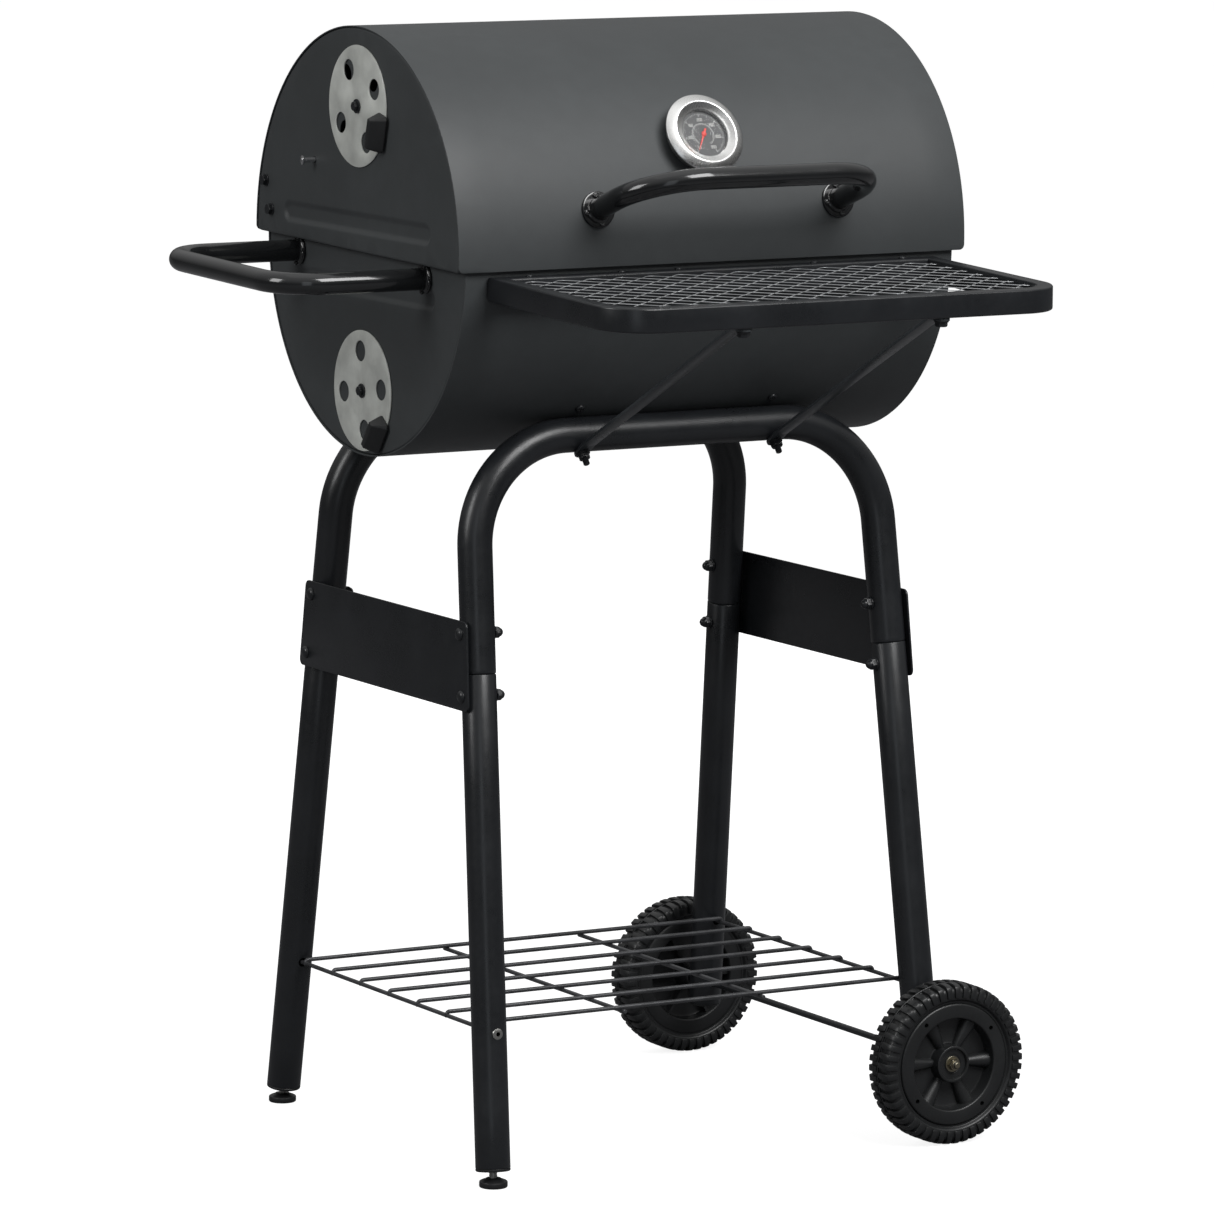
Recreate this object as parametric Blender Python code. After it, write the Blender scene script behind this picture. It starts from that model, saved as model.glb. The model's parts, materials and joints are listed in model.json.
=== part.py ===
"""Charcoal barrel grill on a tubular stand with two feet and two wheels.

The barrel axis runs along x, the front is -y, up is +z and the floor is z = 0. Left is -x,
where the feet, the air dampers and the side handle are; the wheels are on the right.
The finished grill is moved so that the origin is the middle of its footprint.
Lengths are millimetres and become metres when a mesh is made into an object.
"""
import math

import bmesh
import bpy
from mathutils import Matrix, Vector

for old_object in list(bpy.data.objects):
    bpy.data.objects.remove(old_object, do_unlink=True)

# ---------------------------------------------------------------- driving dimensions
MM = 0.001
GAP = 0.3                  # clearance between neighbouring pieces
SIDES = (("left", -1), ("right", 1))
FRONT_REAR = (("front", -1), ("rear", 1))

LID_R = 198.0              # outer radius of the lid drum
LID_Z = 839.5              # height of the lid axis
LID_X = 265.5              # half length of the lid
LID_T = 1.2                # lid sheet
LID_EDGE = 829.0           # height of the lid's lower edge at the front
LID_EDGE_REAR = 836.0      # and at the rear

BODY_R = 192.5             # outer radius of the body drum
BODY_Z = 837.0             # height of the body axis and of its rim
BODY_X = 255.5             # half length of the body
BODY_T = 1.5               # body sheet
DRUM_STEPS = 32            # facets round each half drum

END_T = 1.2                # end plate sheet
END_INSET = 0.6            # end plates sit this far inside the ends of the drums
END_FLANGE = 8.0           # depth of the end plates' flange
BODY_END_X = BODY_X - END_INSET
LID_END_X = LID_X - END_INSET

HINGE_Y = 206.0            # lid hinge axis
HINGE_Z = 826.0
HINGE_X = 190.0            # hinge positions along the barrel
HINGE_ORIGIN = (0.0, HINGE_Y, HINGE_Z)
HINGE_PIN_R = 2.5

# warming rack: lid pivot, body pivot and front pin (y, z) form a parallelogram with the hinge
RACK_LINK = 158.0
RACK_LID_PIVOT = (81.0, 910.0)
RACK_BODY_PIVOT = (HINGE_Y - RACK_LINK, HINGE_Z)
RACK_FRONT_PIN = (RACK_LID_PIVOT[0] - RACK_LINK, RACK_LID_PIVOT[1])
RACK_WIRE_R = 2.5

VENT_R = 55.5              # damper disc
VENT_T = 1.2
VENT_HOLE_R = 9.6
VENT_PITCH_R = 36.3        # holes' distance from the disc centre
VENT_UP = (-5.5, 965.0)    # y, z of the upper damper
VENT_LOW = (3.0, 704.0)    # y, z of the lower damper
# angle of the first hole, from the front, upwards: in each disc and in the end plate behind
VENT_UP_ANGLE = 28.0
VENT_LOW_ANGLE = 6.5
END_UP_ANGLE = 42.0
END_LOW_ANGLE = 51.5

HANDLE_R = 10.0            # bar of both handles

TUBE_R = 16.0              # stand tube
TUBE_WALL = 1.5
SPIGOT_R = TUBE_R - TUBE_WALL - 0.75    # fits inside a stand tube
FRAME_TOP_Z = 668.8        # centre of the horizontal run of the U frames
FRAME_BEND = 100.0
LEG_REF_Z = 500.0          # height at which the leg positions are given
LEG_REF_X = 216.5
LEG_REF_Y = 145.0
SPLAY = 0.032              # legs spread along the barrel, per mm of drop
LEAN = 0.128               # legs spread front to back, per mm of drop
JOINT_Z = 460.0            # where the lower tubes begin
SPIGOT_END_Z = 400.0       # where the inner spigot ends
FOOT_LEG_Z = 17.0          # bottom of the two footed legs
AXLE_LEG_Z = 56.0          # bottom of the two wheeled legs
SADDLE_X = 102.0           # saddle bolts and shelf braces, from the middle

BOLT_R = 3.0
BOLT_HOLE_R = BOLT_R + GAP
BOLT_HEX = 10.0            # across flats
BOLT_HEX_T = 5.0

WHEEL_R = 76.0
WHEEL_W = 36.0
WHEEL_Y = 240.7            # centre plane of the wheels
AXLE_R = 3.2

LOW_RACK_Z = 140.0
LOW_RACK_WIRE_R = 2.0

SHELF_X = 234.0            # half width of the shelf
SHELF_Y = -428.0           # front of the shelf
SHELF_BACK_Y = -(BODY_R + 1.2)
SHELF_H = 22.0             # height and width of the rails
SHELF_W = 15.0
SHELF_TOP = 816.0          # top of the front rail
SHELF_SLOPE = 0.035        # shelf falls to the front
SHELF_CORNER_R = 46.0


# ---------------------------------------------------------------- materials
def material(name, rgb, roughness, metallic=0.0):
    mat = bpy.data.materials.new(name)
    mat.use_nodes = True
    shader = mat.node_tree.nodes["Principled BSDF"]
    shader.inputs["Base Color"].default_value = (*rgb, 1.0)
    shader.inputs["Roughness"].default_value = roughness
    shader.inputs["Metallic"].default_value = metallic
    mat.diffuse_color = (*rgb, 1.0)
    return mat


DRUM_PAINT = material("drum_paint", rgb=(0.045, 0.048, 0.050), roughness=0.55)
POWDER_COAT = material("black_powder_coat", rgb=(0.014, 0.015, 0.017), roughness=0.32)
GLOSS_BLACK = material("gloss_black", rgb=(0.010, 0.011, 0.012), roughness=0.14)
GALVANISED = material("galvanised", rgb=(0.36, 0.365, 0.355), roughness=0.42, metallic=0.9)
STAINLESS = material("stainless", rgb=(0.62, 0.62, 0.61), roughness=0.24, metallic=1.0)
ZINC_STEEL = material("zinc_steel", rgb=(0.50, 0.50, 0.49), roughness=0.33, metallic=1.0)
CHROME = material("chromed_wire", rgb=(0.70, 0.70, 0.70), roughness=0.16, metallic=1.0)
PLASTIC = material("black_plastic", rgb=(0.012, 0.012, 0.013), roughness=0.62)
BLACK_WIRE = material("black_wire", rgb=(0.025, 0.026, 0.028), roughness=0.42)
DIAL_FACE = material("dial_face", rgb=(0.035, 0.036, 0.038), roughness=0.5)
NEEDLE_RED = material("needle_red", rgb=(0.55, 0.03, 0.02), roughness=0.4)
GLASS = material("glass_lens", rgb=(0.85, 0.88, 0.88), roughness=0.05)
ENAMEL = material("enamelled_wire", rgb=(0.03, 0.03, 0.032), roughness=0.5)


# ---------------------------------------------------------------- mesh to object
def mesh_object(name, bm, origin=(0.0, 0.0, 0.0)):
    """Turn a bmesh in millimetres into an object whose origin is given in millimetres."""
    bmesh.ops.remove_doubles(bm, verts=bm.verts, dist=0.0005)
    bmesh.ops.recalc_face_normals(bm, faces=bm.faces)
    origin = Vector(origin)
    for vert in bm.verts:
        vert.co = (vert.co - origin) * MM
    mesh = bpy.data.meshes.new(name)
    bm.to_mesh(mesh)
    bm.free()
    ob = bpy.data.objects.new(name, mesh)
    bpy.context.scene.collection.objects.link(ob)
    ob.location = origin * MM
    return ob


def shade(mesh):
    mesh.shade_smooth()
    mesh.set_sharp_from_angle(angle=math.radians(32))


def finish(name, bm, mat, origin=(0.0, 0.0, 0.0)):
    """Make a named, shaded piece of the grill."""
    ob = mesh_object(name, bm, origin)
    ob.data.materials.append(mat)
    shade(ob.data)
    return ob


def combine(ob, bm, operation):
    """Boolean of a finished object with a body in millimetres, applied to its mesh."""
    tool = mesh_object("tool", bm)
    bpy.context.view_layer.update()
    modifier = ob.modifiers.new("b", "BOOLEAN")
    modifier.operation = operation
    modifier.solver = "EXACT"
    modifier.object = tool
    depsgraph = bpy.context.evaluated_depsgraph_get()
    mesh = bpy.data.meshes.new_from_object(ob.evaluated_get(depsgraph))
    ob.modifiers.clear()
    old_mesh = ob.data
    mat = old_mesh.materials[0]
    mesh.name = old_mesh.name
    ob.data = mesh
    mesh.materials.clear()
    mesh.materials.append(mat)
    for polygon in mesh.polygons:
        polygon.material_index = 0
    bpy.data.meshes.remove(old_mesh)
    bpy.data.objects.remove(tool, do_unlink=True)
    shade(mesh)


def cut(ob, bm):
    combine(ob, bm, "DIFFERENCE")


def join(ob, bm):
    combine(ob, bm, "UNION")


# ---------------------------------------------------------------- shapes
def solid(add_shape, *args, **options):
    """New bmesh holding one shape made by an add_ function."""
    bm = bmesh.new()
    add_shape(bm, *args, **options)
    return bm


def add_loops(bm, loops):
    return [[bm.verts.new(point) for point in loop] for loop in loops]


def bridge(bm, first, second):
    """Quads between two matching closed rows of vertices."""
    for i in range(len(first)):
        j = (i + 1) % len(first)
        bm.faces.new((first[i], first[j], second[j], second[i]))


def add_loft(bm, loops):
    """Solid through matching closed loops, capped at both ends."""
    rows = add_loops(bm, loops)
    for first, second in zip(rows, rows[1:]):
        bridge(bm, first, second)
    bm.faces.new(list(reversed(rows[0])))
    bm.faces.new(rows[-1])


def add_x_extrusion(bm, outline, x0, x1):
    """Outline of (y, z) points drawn out along x."""
    add_loft(bm, [[(x, y, z) for y, z in outline] for x in (x0, x1)])


def axes_about(direction):
    """Two axes square to a direction, and the direction itself, all of unit length."""
    along = Vector(direction).normalized()
    reference = Vector((0, 0, 1)) if abs(along.z) < 0.9 else Vector((0, 1, 0))
    across = along.cross(reference).normalized()
    return across, along.cross(across).normalized(), along


def ring(centre, u, v, radius, sides, phase=0.0):
    """Points of a regular polygon; phase turns it by that share of a side."""
    centre = Vector(centre)
    angles = [2 * math.pi * (i + phase) / sides for i in range(sides)]
    return [centre + u * (radius * math.cos(a)) + v * (radius * math.sin(a)) for a in angles]


def add_cylinder(bm, start, end, radius, sides, phase=0.0):
    start, end = Vector(start), Vector(end)
    u, v, _ = axes_about(end - start)
    add_loft(bm, [ring(centre, u, v, radius, sides, phase) for centre in (start, end)])


def add_x_rod(bm, x0, x1, y, z, radius, sides, phase=0.0):
    add_cylinder(bm, (x0, y, z), (x1, y, z), radius, sides, phase)


def add_y_rod(bm, x, y0, y1, z, radius, sides, phase=0.0):
    add_cylinder(bm, (x, y0, z), (x, y1, z), radius, sides, phase)


def add_hexagon(bm, start, end, across_flats):
    add_cylinder(bm, start, end, across_flats / math.sqrt(3), 6)


def add_revolved(bm, profile, origin, axis, sides):
    """Solid of revolution of a closed profile of (radius, distance along the axis)."""
    u, v, along = axes_about(axis)
    origin = Vector(origin)
    rows = []
    for radius, distance in profile:
        centre = origin + along * distance
        points = [centre] if radius < 1e-6 else ring(centre, u, v, radius, sides)
        rows.append([bm.verts.new(point) for point in points])
    for first, second in zip(rows, rows[1:] + rows[:1]):
        if len(first) == 1 and len(second) == 1:
            continue
        if len(first) > 1 and len(second) > 1:
            bridge(bm, first, second)
            continue
        for i in range(sides):
            j = (i + 1) % sides
            if len(first) == 1:
                bm.faces.new((first[0], second[i], second[j]))
            else:
                bm.faces.new((first[i], first[j], second[0]))


def per_point(value, count):
    """A list with one value per point, from such a list or from a single value."""
    return value if isinstance(value, list) else [value] * count


def rounded(points, radius, steps):
    """Polyline through points with its inner corners replaced by arcs."""
    points = [Vector(p) for p in points]
    radii = per_point(radius, len(points))
    path = [points[0]]
    for i in range(1, len(points) - 1):
        corner, bend_r = points[i], radii[i]
        if bend_r <= 0:
            path.append(corner)
            continue
        back = (points[i - 1] - corner).normalized()
        ahead = (points[i + 1] - corner).normalized()
        half_angle = back.angle(ahead) / 2
        reach = bend_r / math.tan(half_angle)
        centre = corner + (back + ahead).normalized() * (bend_r / math.sin(half_angle))
        spoke = corner + back * reach - centre
        last_spoke = corner + ahead * reach - centre
        axis = spoke.cross(last_spoke).normalized()
        sweep = spoke.angle(last_spoke)
        for k in range(steps + 1):
            path.append(centre + Matrix.Rotation(sweep * k / steps, 3, axis) @ spoke)
    path.append(points[-1])
    return path


def tangents(path):
    """Unit direction at each point; at inner points the mean of both neighbours."""
    steps = [(b - a).normalized() for a, b in zip(path, path[1:])]
    inner = [(after + before).normalized() for before, after in zip(steps, steps[1:])]
    return [steps[0]] + inner + [steps[-1]]


def add_tube(bm, path, outer_r, sides, inner_r=None, phase=0.0):
    """Round bar, or pipe if an inner radius is given, swept along a path."""
    path = [Vector(p) for p in path]
    directions = tangents(path)
    u, v, _ = axes_about(directions[0])
    frames = [(u, v)]
    for before, after in zip(directions, directions[1:]):
        turn = before.rotation_difference(after)
        u = turn @ u
        v = turn @ v
        frames.append((u, v))

    def loops(radius):
        radii = per_point(radius, len(path))
        return [ring(p, a, b, r, sides, phase) for p, (a, b), r in zip(path, frames, radii)]

    if inner_r is None:
        add_loft(bm, loops(outer_r))
        return
    outer, inner = add_loops(bm, loops(outer_r)), add_loops(bm, loops(inner_r))
    for first, second in zip(outer, outer[1:]):
        bridge(bm, first, second)
    for first, second in zip(inner, inner[1:]):
        bridge(bm, second, first)
    for end in (0, -1):
        bridge(bm, outer[end], inner[end])


# ---------------------------------------------------------------- drum shells and end plates
def arc(axis_z, radius, start, end, steps=DRUM_STEPS):
    """Points (y, z) on an arc about a drum axis; degrees from the front (-y), upwards."""
    angles = [math.radians(start + (end - start) * i / steps) for i in range(steps + 1)]
    return [(-radius * math.cos(a), axis_z + radius * math.sin(a)) for a in angles]


def angle_at(z, axis_z, radius):
    """Angle of the point of an arc at height z."""
    return math.degrees(math.asin((z - axis_z) / radius))


def add_strip(bm, first, second):
    """Quads between two matching open rows of vertices."""
    for i in range(len(first) - 1):
        bm.faces.new((first[i], first[i + 1], second[i + 1], second[i]))


def rolled_sheet(name, half_length, axis_z, radius, thickness, start, end, origin):
    """Part cylinder of sheet between two angles."""
    bm = bmesh.new()
    outer = arc(axis_z, radius, start, end)
    inner = arc(axis_z, radius - thickness, start, end)
    # rows in order round the sheet's section along x
    rows = add_loops(bm, [[(x, y, z) for y, z in points]
                          for x, points in ((-half_length, outer), (half_length, outer),
                                            (half_length, inner), (-half_length, inner))])
    for first, second in zip(rows, rows[1:] + rows[:1]):
        add_strip(bm, first, second)
    for edge in (0, -1):
        bm.faces.new([row[edge] for row in rows])
    return finish(name, bm, DRUM_PAINT, origin)


def make_body_shell():
    return rolled_sheet("body_shell", BODY_X, BODY_Z, BODY_R, BODY_T, 0.0, -180.0,
                        (0, 0, BODY_Z))


def make_lid_shell():
    start = angle_at(LID_EDGE, LID_Z, LID_R)
    end = 180.0 - angle_at(LID_EDGE_REAR, LID_Z, LID_R)
    return rolled_sheet("lid_shell", LID_X, LID_Z, LID_R, LID_T, start, end, HINGE_ORIGIN)


def end_plate(name, side, face_x, axis_z, radius, front_z, rear_z, sweep, origin):
    """End plate with a flange along its curved edge; sweep is 180 upwards, -180 downwards."""
    def points(r):
        return arc(axis_z, r, angle_at(front_z, axis_z, r), sweep - angle_at(rear_z, axis_z, r))

    bm = bmesh.new()
    outer, inner = points(radius), points(radius - END_T)
    face_out, face_in = side * face_x, side * (face_x - END_T)
    flange_x = side * (face_x - END_FLANGE)
    # rows from the outer face over the flange to the inner face
    rows = add_loops(bm, [[(x, y, z) for y, z in curve]
                          for x, curve in ((face_out, outer), (flange_x, outer),
                                           (flange_x, inner), (face_in, inner))])
    bm.faces.new(rows[0])
    bm.faces.new(list(reversed(rows[-1])))
    for first, second in zip(rows, rows[1:]):
        add_strip(bm, first, second)
    for edge in (0, -1):
        bm.faces.new([row[edge] for row in rows])
    # straight edge of the plate
    bm.faces.new((rows[0][0], rows[-1][0], rows[-1][-1], rows[0][-1]))
    return finish(name, bm, DRUM_PAINT, origin)


def vent_holes(x0, x1, centre, first_angle, centre_r):
    """Four air holes and a centre hole, as a cutting body along x."""
    bm = bmesh.new()
    for k in range(4):
        a = math.radians(first_angle + 90 * k)
        y, z = centre[0] - VENT_PITCH_R * math.cos(a), centre[1] + VENT_PITCH_R * math.sin(a)
        add_x_rod(bm, x0, x1, y, z, VENT_HOLE_R, 12)
    add_x_rod(bm, x0, x1, *centre, centre_r, 8)
    return bm


def make_end_plates():
    screw_hole_r = 2.9
    through = 4.0              # reach of the cutting bodies to each side of a plate
    for tag, side in SIDES:
        plate = end_plate("body_end_" + tag, side, BODY_END_X, BODY_Z, BODY_R - BODY_T - GAP,
                          BODY_Z, BODY_Z, -180, (side * BODY_END_X, 0, BODY_Z))
        if side < 0:
            cut(plate, vent_holes(-BODY_X - through, -BODY_X + through, VENT_LOW,
                                  END_LOW_ANGLE, screw_hole_r))
        # blind boss on the inner face in which the rack crank turns
        join(plate, solid(add_x_rod, side * (BODY_END_X - 0.5), side * (BODY_END_X - 5.2),
                          *RACK_BODY_PIVOT, 5.5, 14))
        cut(plate, solid(add_x_rod, side * (BODY_END_X - 1.6), side * (BODY_END_X - 9.0),
                         *RACK_BODY_PIVOT, RACK_WIRE_R + GAP, 12))
    for tag, side in SIDES:
        plate = end_plate("lid_end_" + tag, side, LID_END_X, LID_Z, LID_R - LID_T - GAP,
                          LID_EDGE, LID_EDGE_REAR, 180, HINGE_ORIGIN)
        if side < 0:
            cut(plate, vent_holes(-LID_X - through, -LID_X + through, VENT_UP,
                                  END_UP_ANGLE, screw_hole_r))
        cut(plate, solid(add_x_rod, side * (LID_X + through), side * (LID_X - through),
                         *RACK_LID_PIVOT, RACK_WIRE_R + GAP, 12))


# ---------------------------------------------------------------- air dampers
KNOB_H = 13.5
KNOB_FROM_HOLE = 38.0      # degrees from a hole to the knob
KNOB_TILT = 9.5            # degrees the knob is turned from the radius
KNOB_RIM_INSET = 4.0       # knob centre inside the rim of the disc
# outlines of the knob, (outwards along the radius, across), at the disc and at its top
KNOB_BASE = [(-9, -16), (-7, -17.5), (6, -17.5), (9, -14.5), (9, 14), (6, 17), (-7, 17), (-9, 15)]
KNOB_TOP = [(-5, -14), (-4.4, -15), (0.4, -15), (1, -14),
            (1, 11.5), (0.4, 12.5), (-4.4, 12.5), (-5, 11.5)]


def vent_disc(name, x_in, centre, hole_angle):
    x_out = x_in - VENT_T
    bm = solid(add_x_rod, x_in, x_out, *centre, VENT_R, 32)
    disc = finish(name, bm, GALVANISED, (x_in, *centre))
    cut(disc, vent_holes(x_in + 3, x_out - 3, centre, hole_angle, centre_r=3.3))


def vent_knob(name, x_base, centre, hole_angle, origin):
    """Wedge shaped grip standing on the rim of the disc."""
    a = math.radians(hole_angle - 90 + KNOB_FROM_HOLE)
    r = VENT_R - KNOB_RIM_INSET
    knob_y, knob_z = centre[0] - r * math.cos(a), centre[1] + r * math.sin(a)
    tilt = a + math.radians(KNOB_TILT)
    cos_t, sin_t = math.cos(tilt), math.sin(tilt)

    def placed(x, outline):
        return [(x, knob_y - cos_t * p + sin_t * q, knob_z + sin_t * p + cos_t * q)
                for p, q in outline]

    bm = solid(add_loft, [placed(x_base, KNOB_BASE), placed(x_base - KNOB_H, KNOB_TOP)])
    finish(name, bm, PLASTIC, origin)


def vent_bolt(name, x_base, x_end, centre, origin):
    """Washer and hexagon head outside the disc, shank through the end plate."""
    y, z = centre
    bm = solid(add_x_rod, x_base, x_base - 1.2, y, z, 6.0, 16)
    add_hexagon(bm, (x_base - 1.0, y, z), (x_base - 4.0, y, z), 8.0)
    bolt = finish(name, bm, POWDER_COAT, origin)
    join(bolt, solid(add_x_rod, x_base - 0.8, x_end, y, z, 2.5, 10))
    # core that binds washer, head and shank
    join(bolt, solid(add_x_rod, x_base - 0.4, x_base - 2.5, y, z, 2.45, 10))


def make_damper(tag, end_x, centre, hole_angle):
    disc_x = -end_x - GAP
    origin = (disc_x, *centre)
    outside_x = disc_x - VENT_T - GAP
    vent_disc("vent_disc_" + tag, disc_x, centre, hole_angle)
    vent_knob("vent_knob_" + tag, outside_x, centre, hole_angle, origin)
    vent_bolt("vent_bolt_" + tag, outside_x, -end_x + 9.0, centre, origin)


# ---------------------------------------------------------------- lid fittings
def lid_normal(degrees):
    """Outward direction of the lid sheet at an angle above the front."""
    angle = math.radians(degrees)
    return Vector((0, -math.cos(angle), math.sin(angle)))


def make_lid_handle():
    middle_x, half_width = 4.0, 126.0
    bar_y, bar_z = -285.0, 913.0
    bend_r = 62.0
    normal = lid_normal(11.9)
    feet = [Vector((middle_x + side * half_width, 0, LID_Z)) for side in (-1, 1)]
    left, right = [foot + normal * (LID_R + 2.0) for foot in feet]
    bar_left, bar_right = [Vector((foot.x, bar_y, bar_z)) for foot in feet]
    path = rounded([left, bar_left, bar_right, right], bend_r, 6)
    handle = finish("lid_handle", solid(add_tube, path, HANDLE_R, 12), GLOSS_BLACK,
                    HINGE_ORIGIN)
    # round foot plates, then everything trimmed to the lid drum
    for side in (-1, 1):
        foot = Vector((middle_x, 0, LID_Z)) + Vector((side * half_width, 0, 0))
        join(handle, solid(add_cylinder, foot + normal * (LID_R - 3.0),
                           foot + normal * (LID_R + 4.0), 16.5, 16))
    cut(handle, solid(add_x_rod, -LID_X, LID_X, 0, LID_Z, LID_R + GAP, 120))


THERMO_X = -5.2
THERMO_ANGLE = 29.8        # above the lid axis
THERMO_BACK = LID_R + 3.2  # back plane of the case, clear of the curved sheet at its rim
DIAL_R = 22.9
NEEDLE_ANGLE = -120.0      # from the dial's right: downwards and to the left
# (radius, height above the back plane)
THERMO_CASE = [(4.3, 0.0), (33.5, 0.0), (34.5, 1.0), (34.5, 7.5), (38.0, 8.6), (38.8, 9.6),
               (38.6, 10.6), (32.0, 14.4), (30.5, 14.8), (29.3, 14.5), (23.6, 11.3),
               (23.2, 11.0), (23.2, 6.0), (4.3, 6.0)]
THERMO_DIAL = [(1.6, 6.3), (DIAL_R, 6.3), (DIAL_R, 7.3), (1.6, 7.3)]
# probe with its clamping nut inside the lid
THERMO_STEM = [(0.0, 8.0), (1.2, 8.0), (1.2, 5.7), (3.9, 5.7), (3.9, -4.6), (6.2, -5.1),
               (6.2, -9.6), (3.0, -10.2), (3.0, -52.0), (1.5, -54.0), (0.0, -54.0)]


def thermometer_needle(pivot, normal):
    right = Vector((1, 0, 0))
    up = normal.cross(right).normalized()
    angle = math.radians(NEEDLE_ANGLE)
    along = right * math.cos(angle) + up * math.sin(angle)
    across = right * -math.sin(angle) + up * math.cos(angle)
    # (along, across) from the pivot
    outline = [(18.0, 0.25), (18.0, -0.25), (0.0, -1.0), (-5.0, -0.8), (-5.0, 0.8), (0.0, 1.0)]
    loop = [pivot + along * p + across * q for p, q in outline]
    needle = finish("thermometer_needle",
                    solid(add_loft, [loop, [p + normal * 0.5 for p in loop]]),
                    NEEDLE_RED, pivot)
    join(needle, solid(add_cylinder, pivot - normal * 0.1, pivot + normal * 1.5, 2.6, 12))


def make_thermometer(lid_shell):
    normal = lid_normal(THERMO_ANGLE)
    axis_point = Vector((THERMO_X, 0, LID_Z))
    back = axis_point + normal * THERMO_BACK
    cut(lid_shell, solid(add_cylinder, axis_point + normal * (LID_R - 6),
                         axis_point + normal * (LID_R + 6), 7.0, 16))
    for name, profile, sides, mat in (("case", THERMO_CASE, 28, STAINLESS),
                                      ("dial", THERMO_DIAL, 28, DIAL_FACE),
                                      ("stem", THERMO_STEM, 12, STAINLESS)):
        finish("thermometer_" + name, solid(add_revolved, profile, back, normal, sides),
               mat, back)
    glass = solid(add_cylinder, back + normal * 10.2, back + normal * 11.0, DIAL_R, 28)
    finish("thermometer_glass", glass, GLASS, back)
    thermometer_needle(back + normal * 8.4, normal)


# ---------------------------------------------------------------- hinges
HINGE_HALF_W = 26.0
KNUCKLE_R = 4.5
LEAF_T = 2.4
# webs from leaf to knuckle, (y, z)
BODY_WEB = [(193.6, 824.4), (195.0, 812.0), (203.5, 821.8),
            (207.0, 824.0), (205.0, 826.5), (199.0, 824.6)]
LID_WEB = [(198.9, 846.2), (198.9, 829.5), (202.0, 827.0),
           (204.5, 830.0), (201.2, 834.0), (201.2, 846.2)]


def hinge_leaf(name, x_middle, drum_r, axis_z, start, end):
    """Curved leaf lying on the drum between two angles."""
    inner_r = drum_r + GAP
    outline = arc(axis_z, inner_r + LEAF_T, start, end, 3)
    outline += reversed(arc(axis_z, inner_r, start, end, 3))
    bm = solid(add_x_extrusion, outline, x_middle - HINGE_HALF_W, x_middle + HINGE_HALF_W)
    return finish(name, bm, POWDER_COAT, HINGE_ORIGIN)


def add_knuckle(leaf, x0, x1, web, overrun):
    """Web and knuckle; the overrun keeps their end faces out of one plane."""
    join(leaf, solid(add_x_extrusion, web, x0, x1))
    join(leaf, solid(add_x_rod, x0 - overrun, x1 + overrun, HINGE_Y, HINGE_Z, KNUCKLE_R, 14))


def make_hinge(tag, side):
    middle = side * HINGE_X
    x0, x1 = middle - HINGE_HALF_W, middle + HINGE_HALF_W
    # body leaf below the rim, with two outer knuckles and the pin
    body_leaf = hinge_leaf(f"hinge_{tag}_body", middle, BODY_R, BODY_Z, -176.2, -165.0)
    add_knuckle(body_leaf, x0, middle - 9, BODY_WEB, 0.013)
    add_knuckle(body_leaf, middle + 9, x1, BODY_WEB, 0.013)
    join(body_leaf, solid(add_x_rod, x0 - 3, x1 + 3, HINGE_Y, HINGE_Z, HINGE_PIN_R, 12))
    # lid leaf above the lid edge, with one bored knuckle in the middle
    lid_leaf = hinge_leaf(f"hinge_{tag}_lid", middle, LID_R, LID_Z, 178.4, 163.0)
    x0, x1 = middle - 8.6, middle + 8.6
    add_knuckle(lid_leaf, x0, x1, LID_WEB, 0.011)
    cut(lid_leaf, solid(add_x_rod, x0 - 5, x1 + 5, HINGE_Y, HINGE_Z, HINGE_PIN_R + GAP, 12))


# ---------------------------------------------------------------- warming rack and its crank
def make_warming_rack():
    half_x = 240.0             # side wires of the rack
    y, z = RACK_LID_PIVOT
    front_y = RACK_FRONT_PIN[0]

    def side_wire(side):
        corners = [(side * (LID_X + 13.0), y, z), (side * half_x, y, z),
                   (side * half_x, y - 24, z), (side * half_x, front_y + 8, z)]
        return solid(add_tube, rounded(corners, [0, 6, 0, 0], 3), RACK_WIRE_R, 8)

    rack = finish("warming_rack", side_wire(-1), CHROME, (0, y, z))
    join(rack, side_wire(1))
    # wires along the barrel: (y, radius)
    for wire_y, radius in ((y - 12, RACK_WIRE_R), (front_y + 10, RACK_WIRE_R),
                           (y - 42, 1.8), (y - 72, 1.8), (y - 102, 1.8)):
        join(rack, solid(add_x_rod, -half_x - 1.2, half_x + 1.2, wire_y, z + 0.4,
                         radius, 6, 0.5))
    # wires from back to front on top
    bm = bmesh.new()
    for k in range(4):
        add_y_rod(bm, -150 + 100 * k, y - 10.5, front_y + 9.0, z + 2.6, 1.6, 6, 0.5)
    join(rack, bm)
    # flattened wire heads outside the lid ends
    half = 3.6
    square = [(y - half, z - half), (y + half, z - half), (y + half, z + half),
              (y - half, z + half)]
    for side in (-1, 1):
        join(rack, solid(add_x_extrusion, square, side * (LID_X + 11.5), side * (LID_X + 13.6)))


def make_rack_crank():
    """One bent wire from the body end plates up and across the front of the rack."""
    crank_x = 246.6
    end_x = BODY_END_X - 2.0
    pivot, pin = RACK_BODY_PIVOT, RACK_FRONT_PIN
    corners = [(-end_x, *pivot), (-crank_x, *pivot), (-crank_x, *pin),
               (crank_x, *pin), (crank_x, *pivot), (end_x, *pivot)]
    path = rounded(corners, [0, 3.4, 5, 5, 3.4, 0], 3)
    finish("rack_crank", solid(add_tube, path, RACK_WIRE_R - 0.2, 8), CHROME, (0, *pivot))


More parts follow.
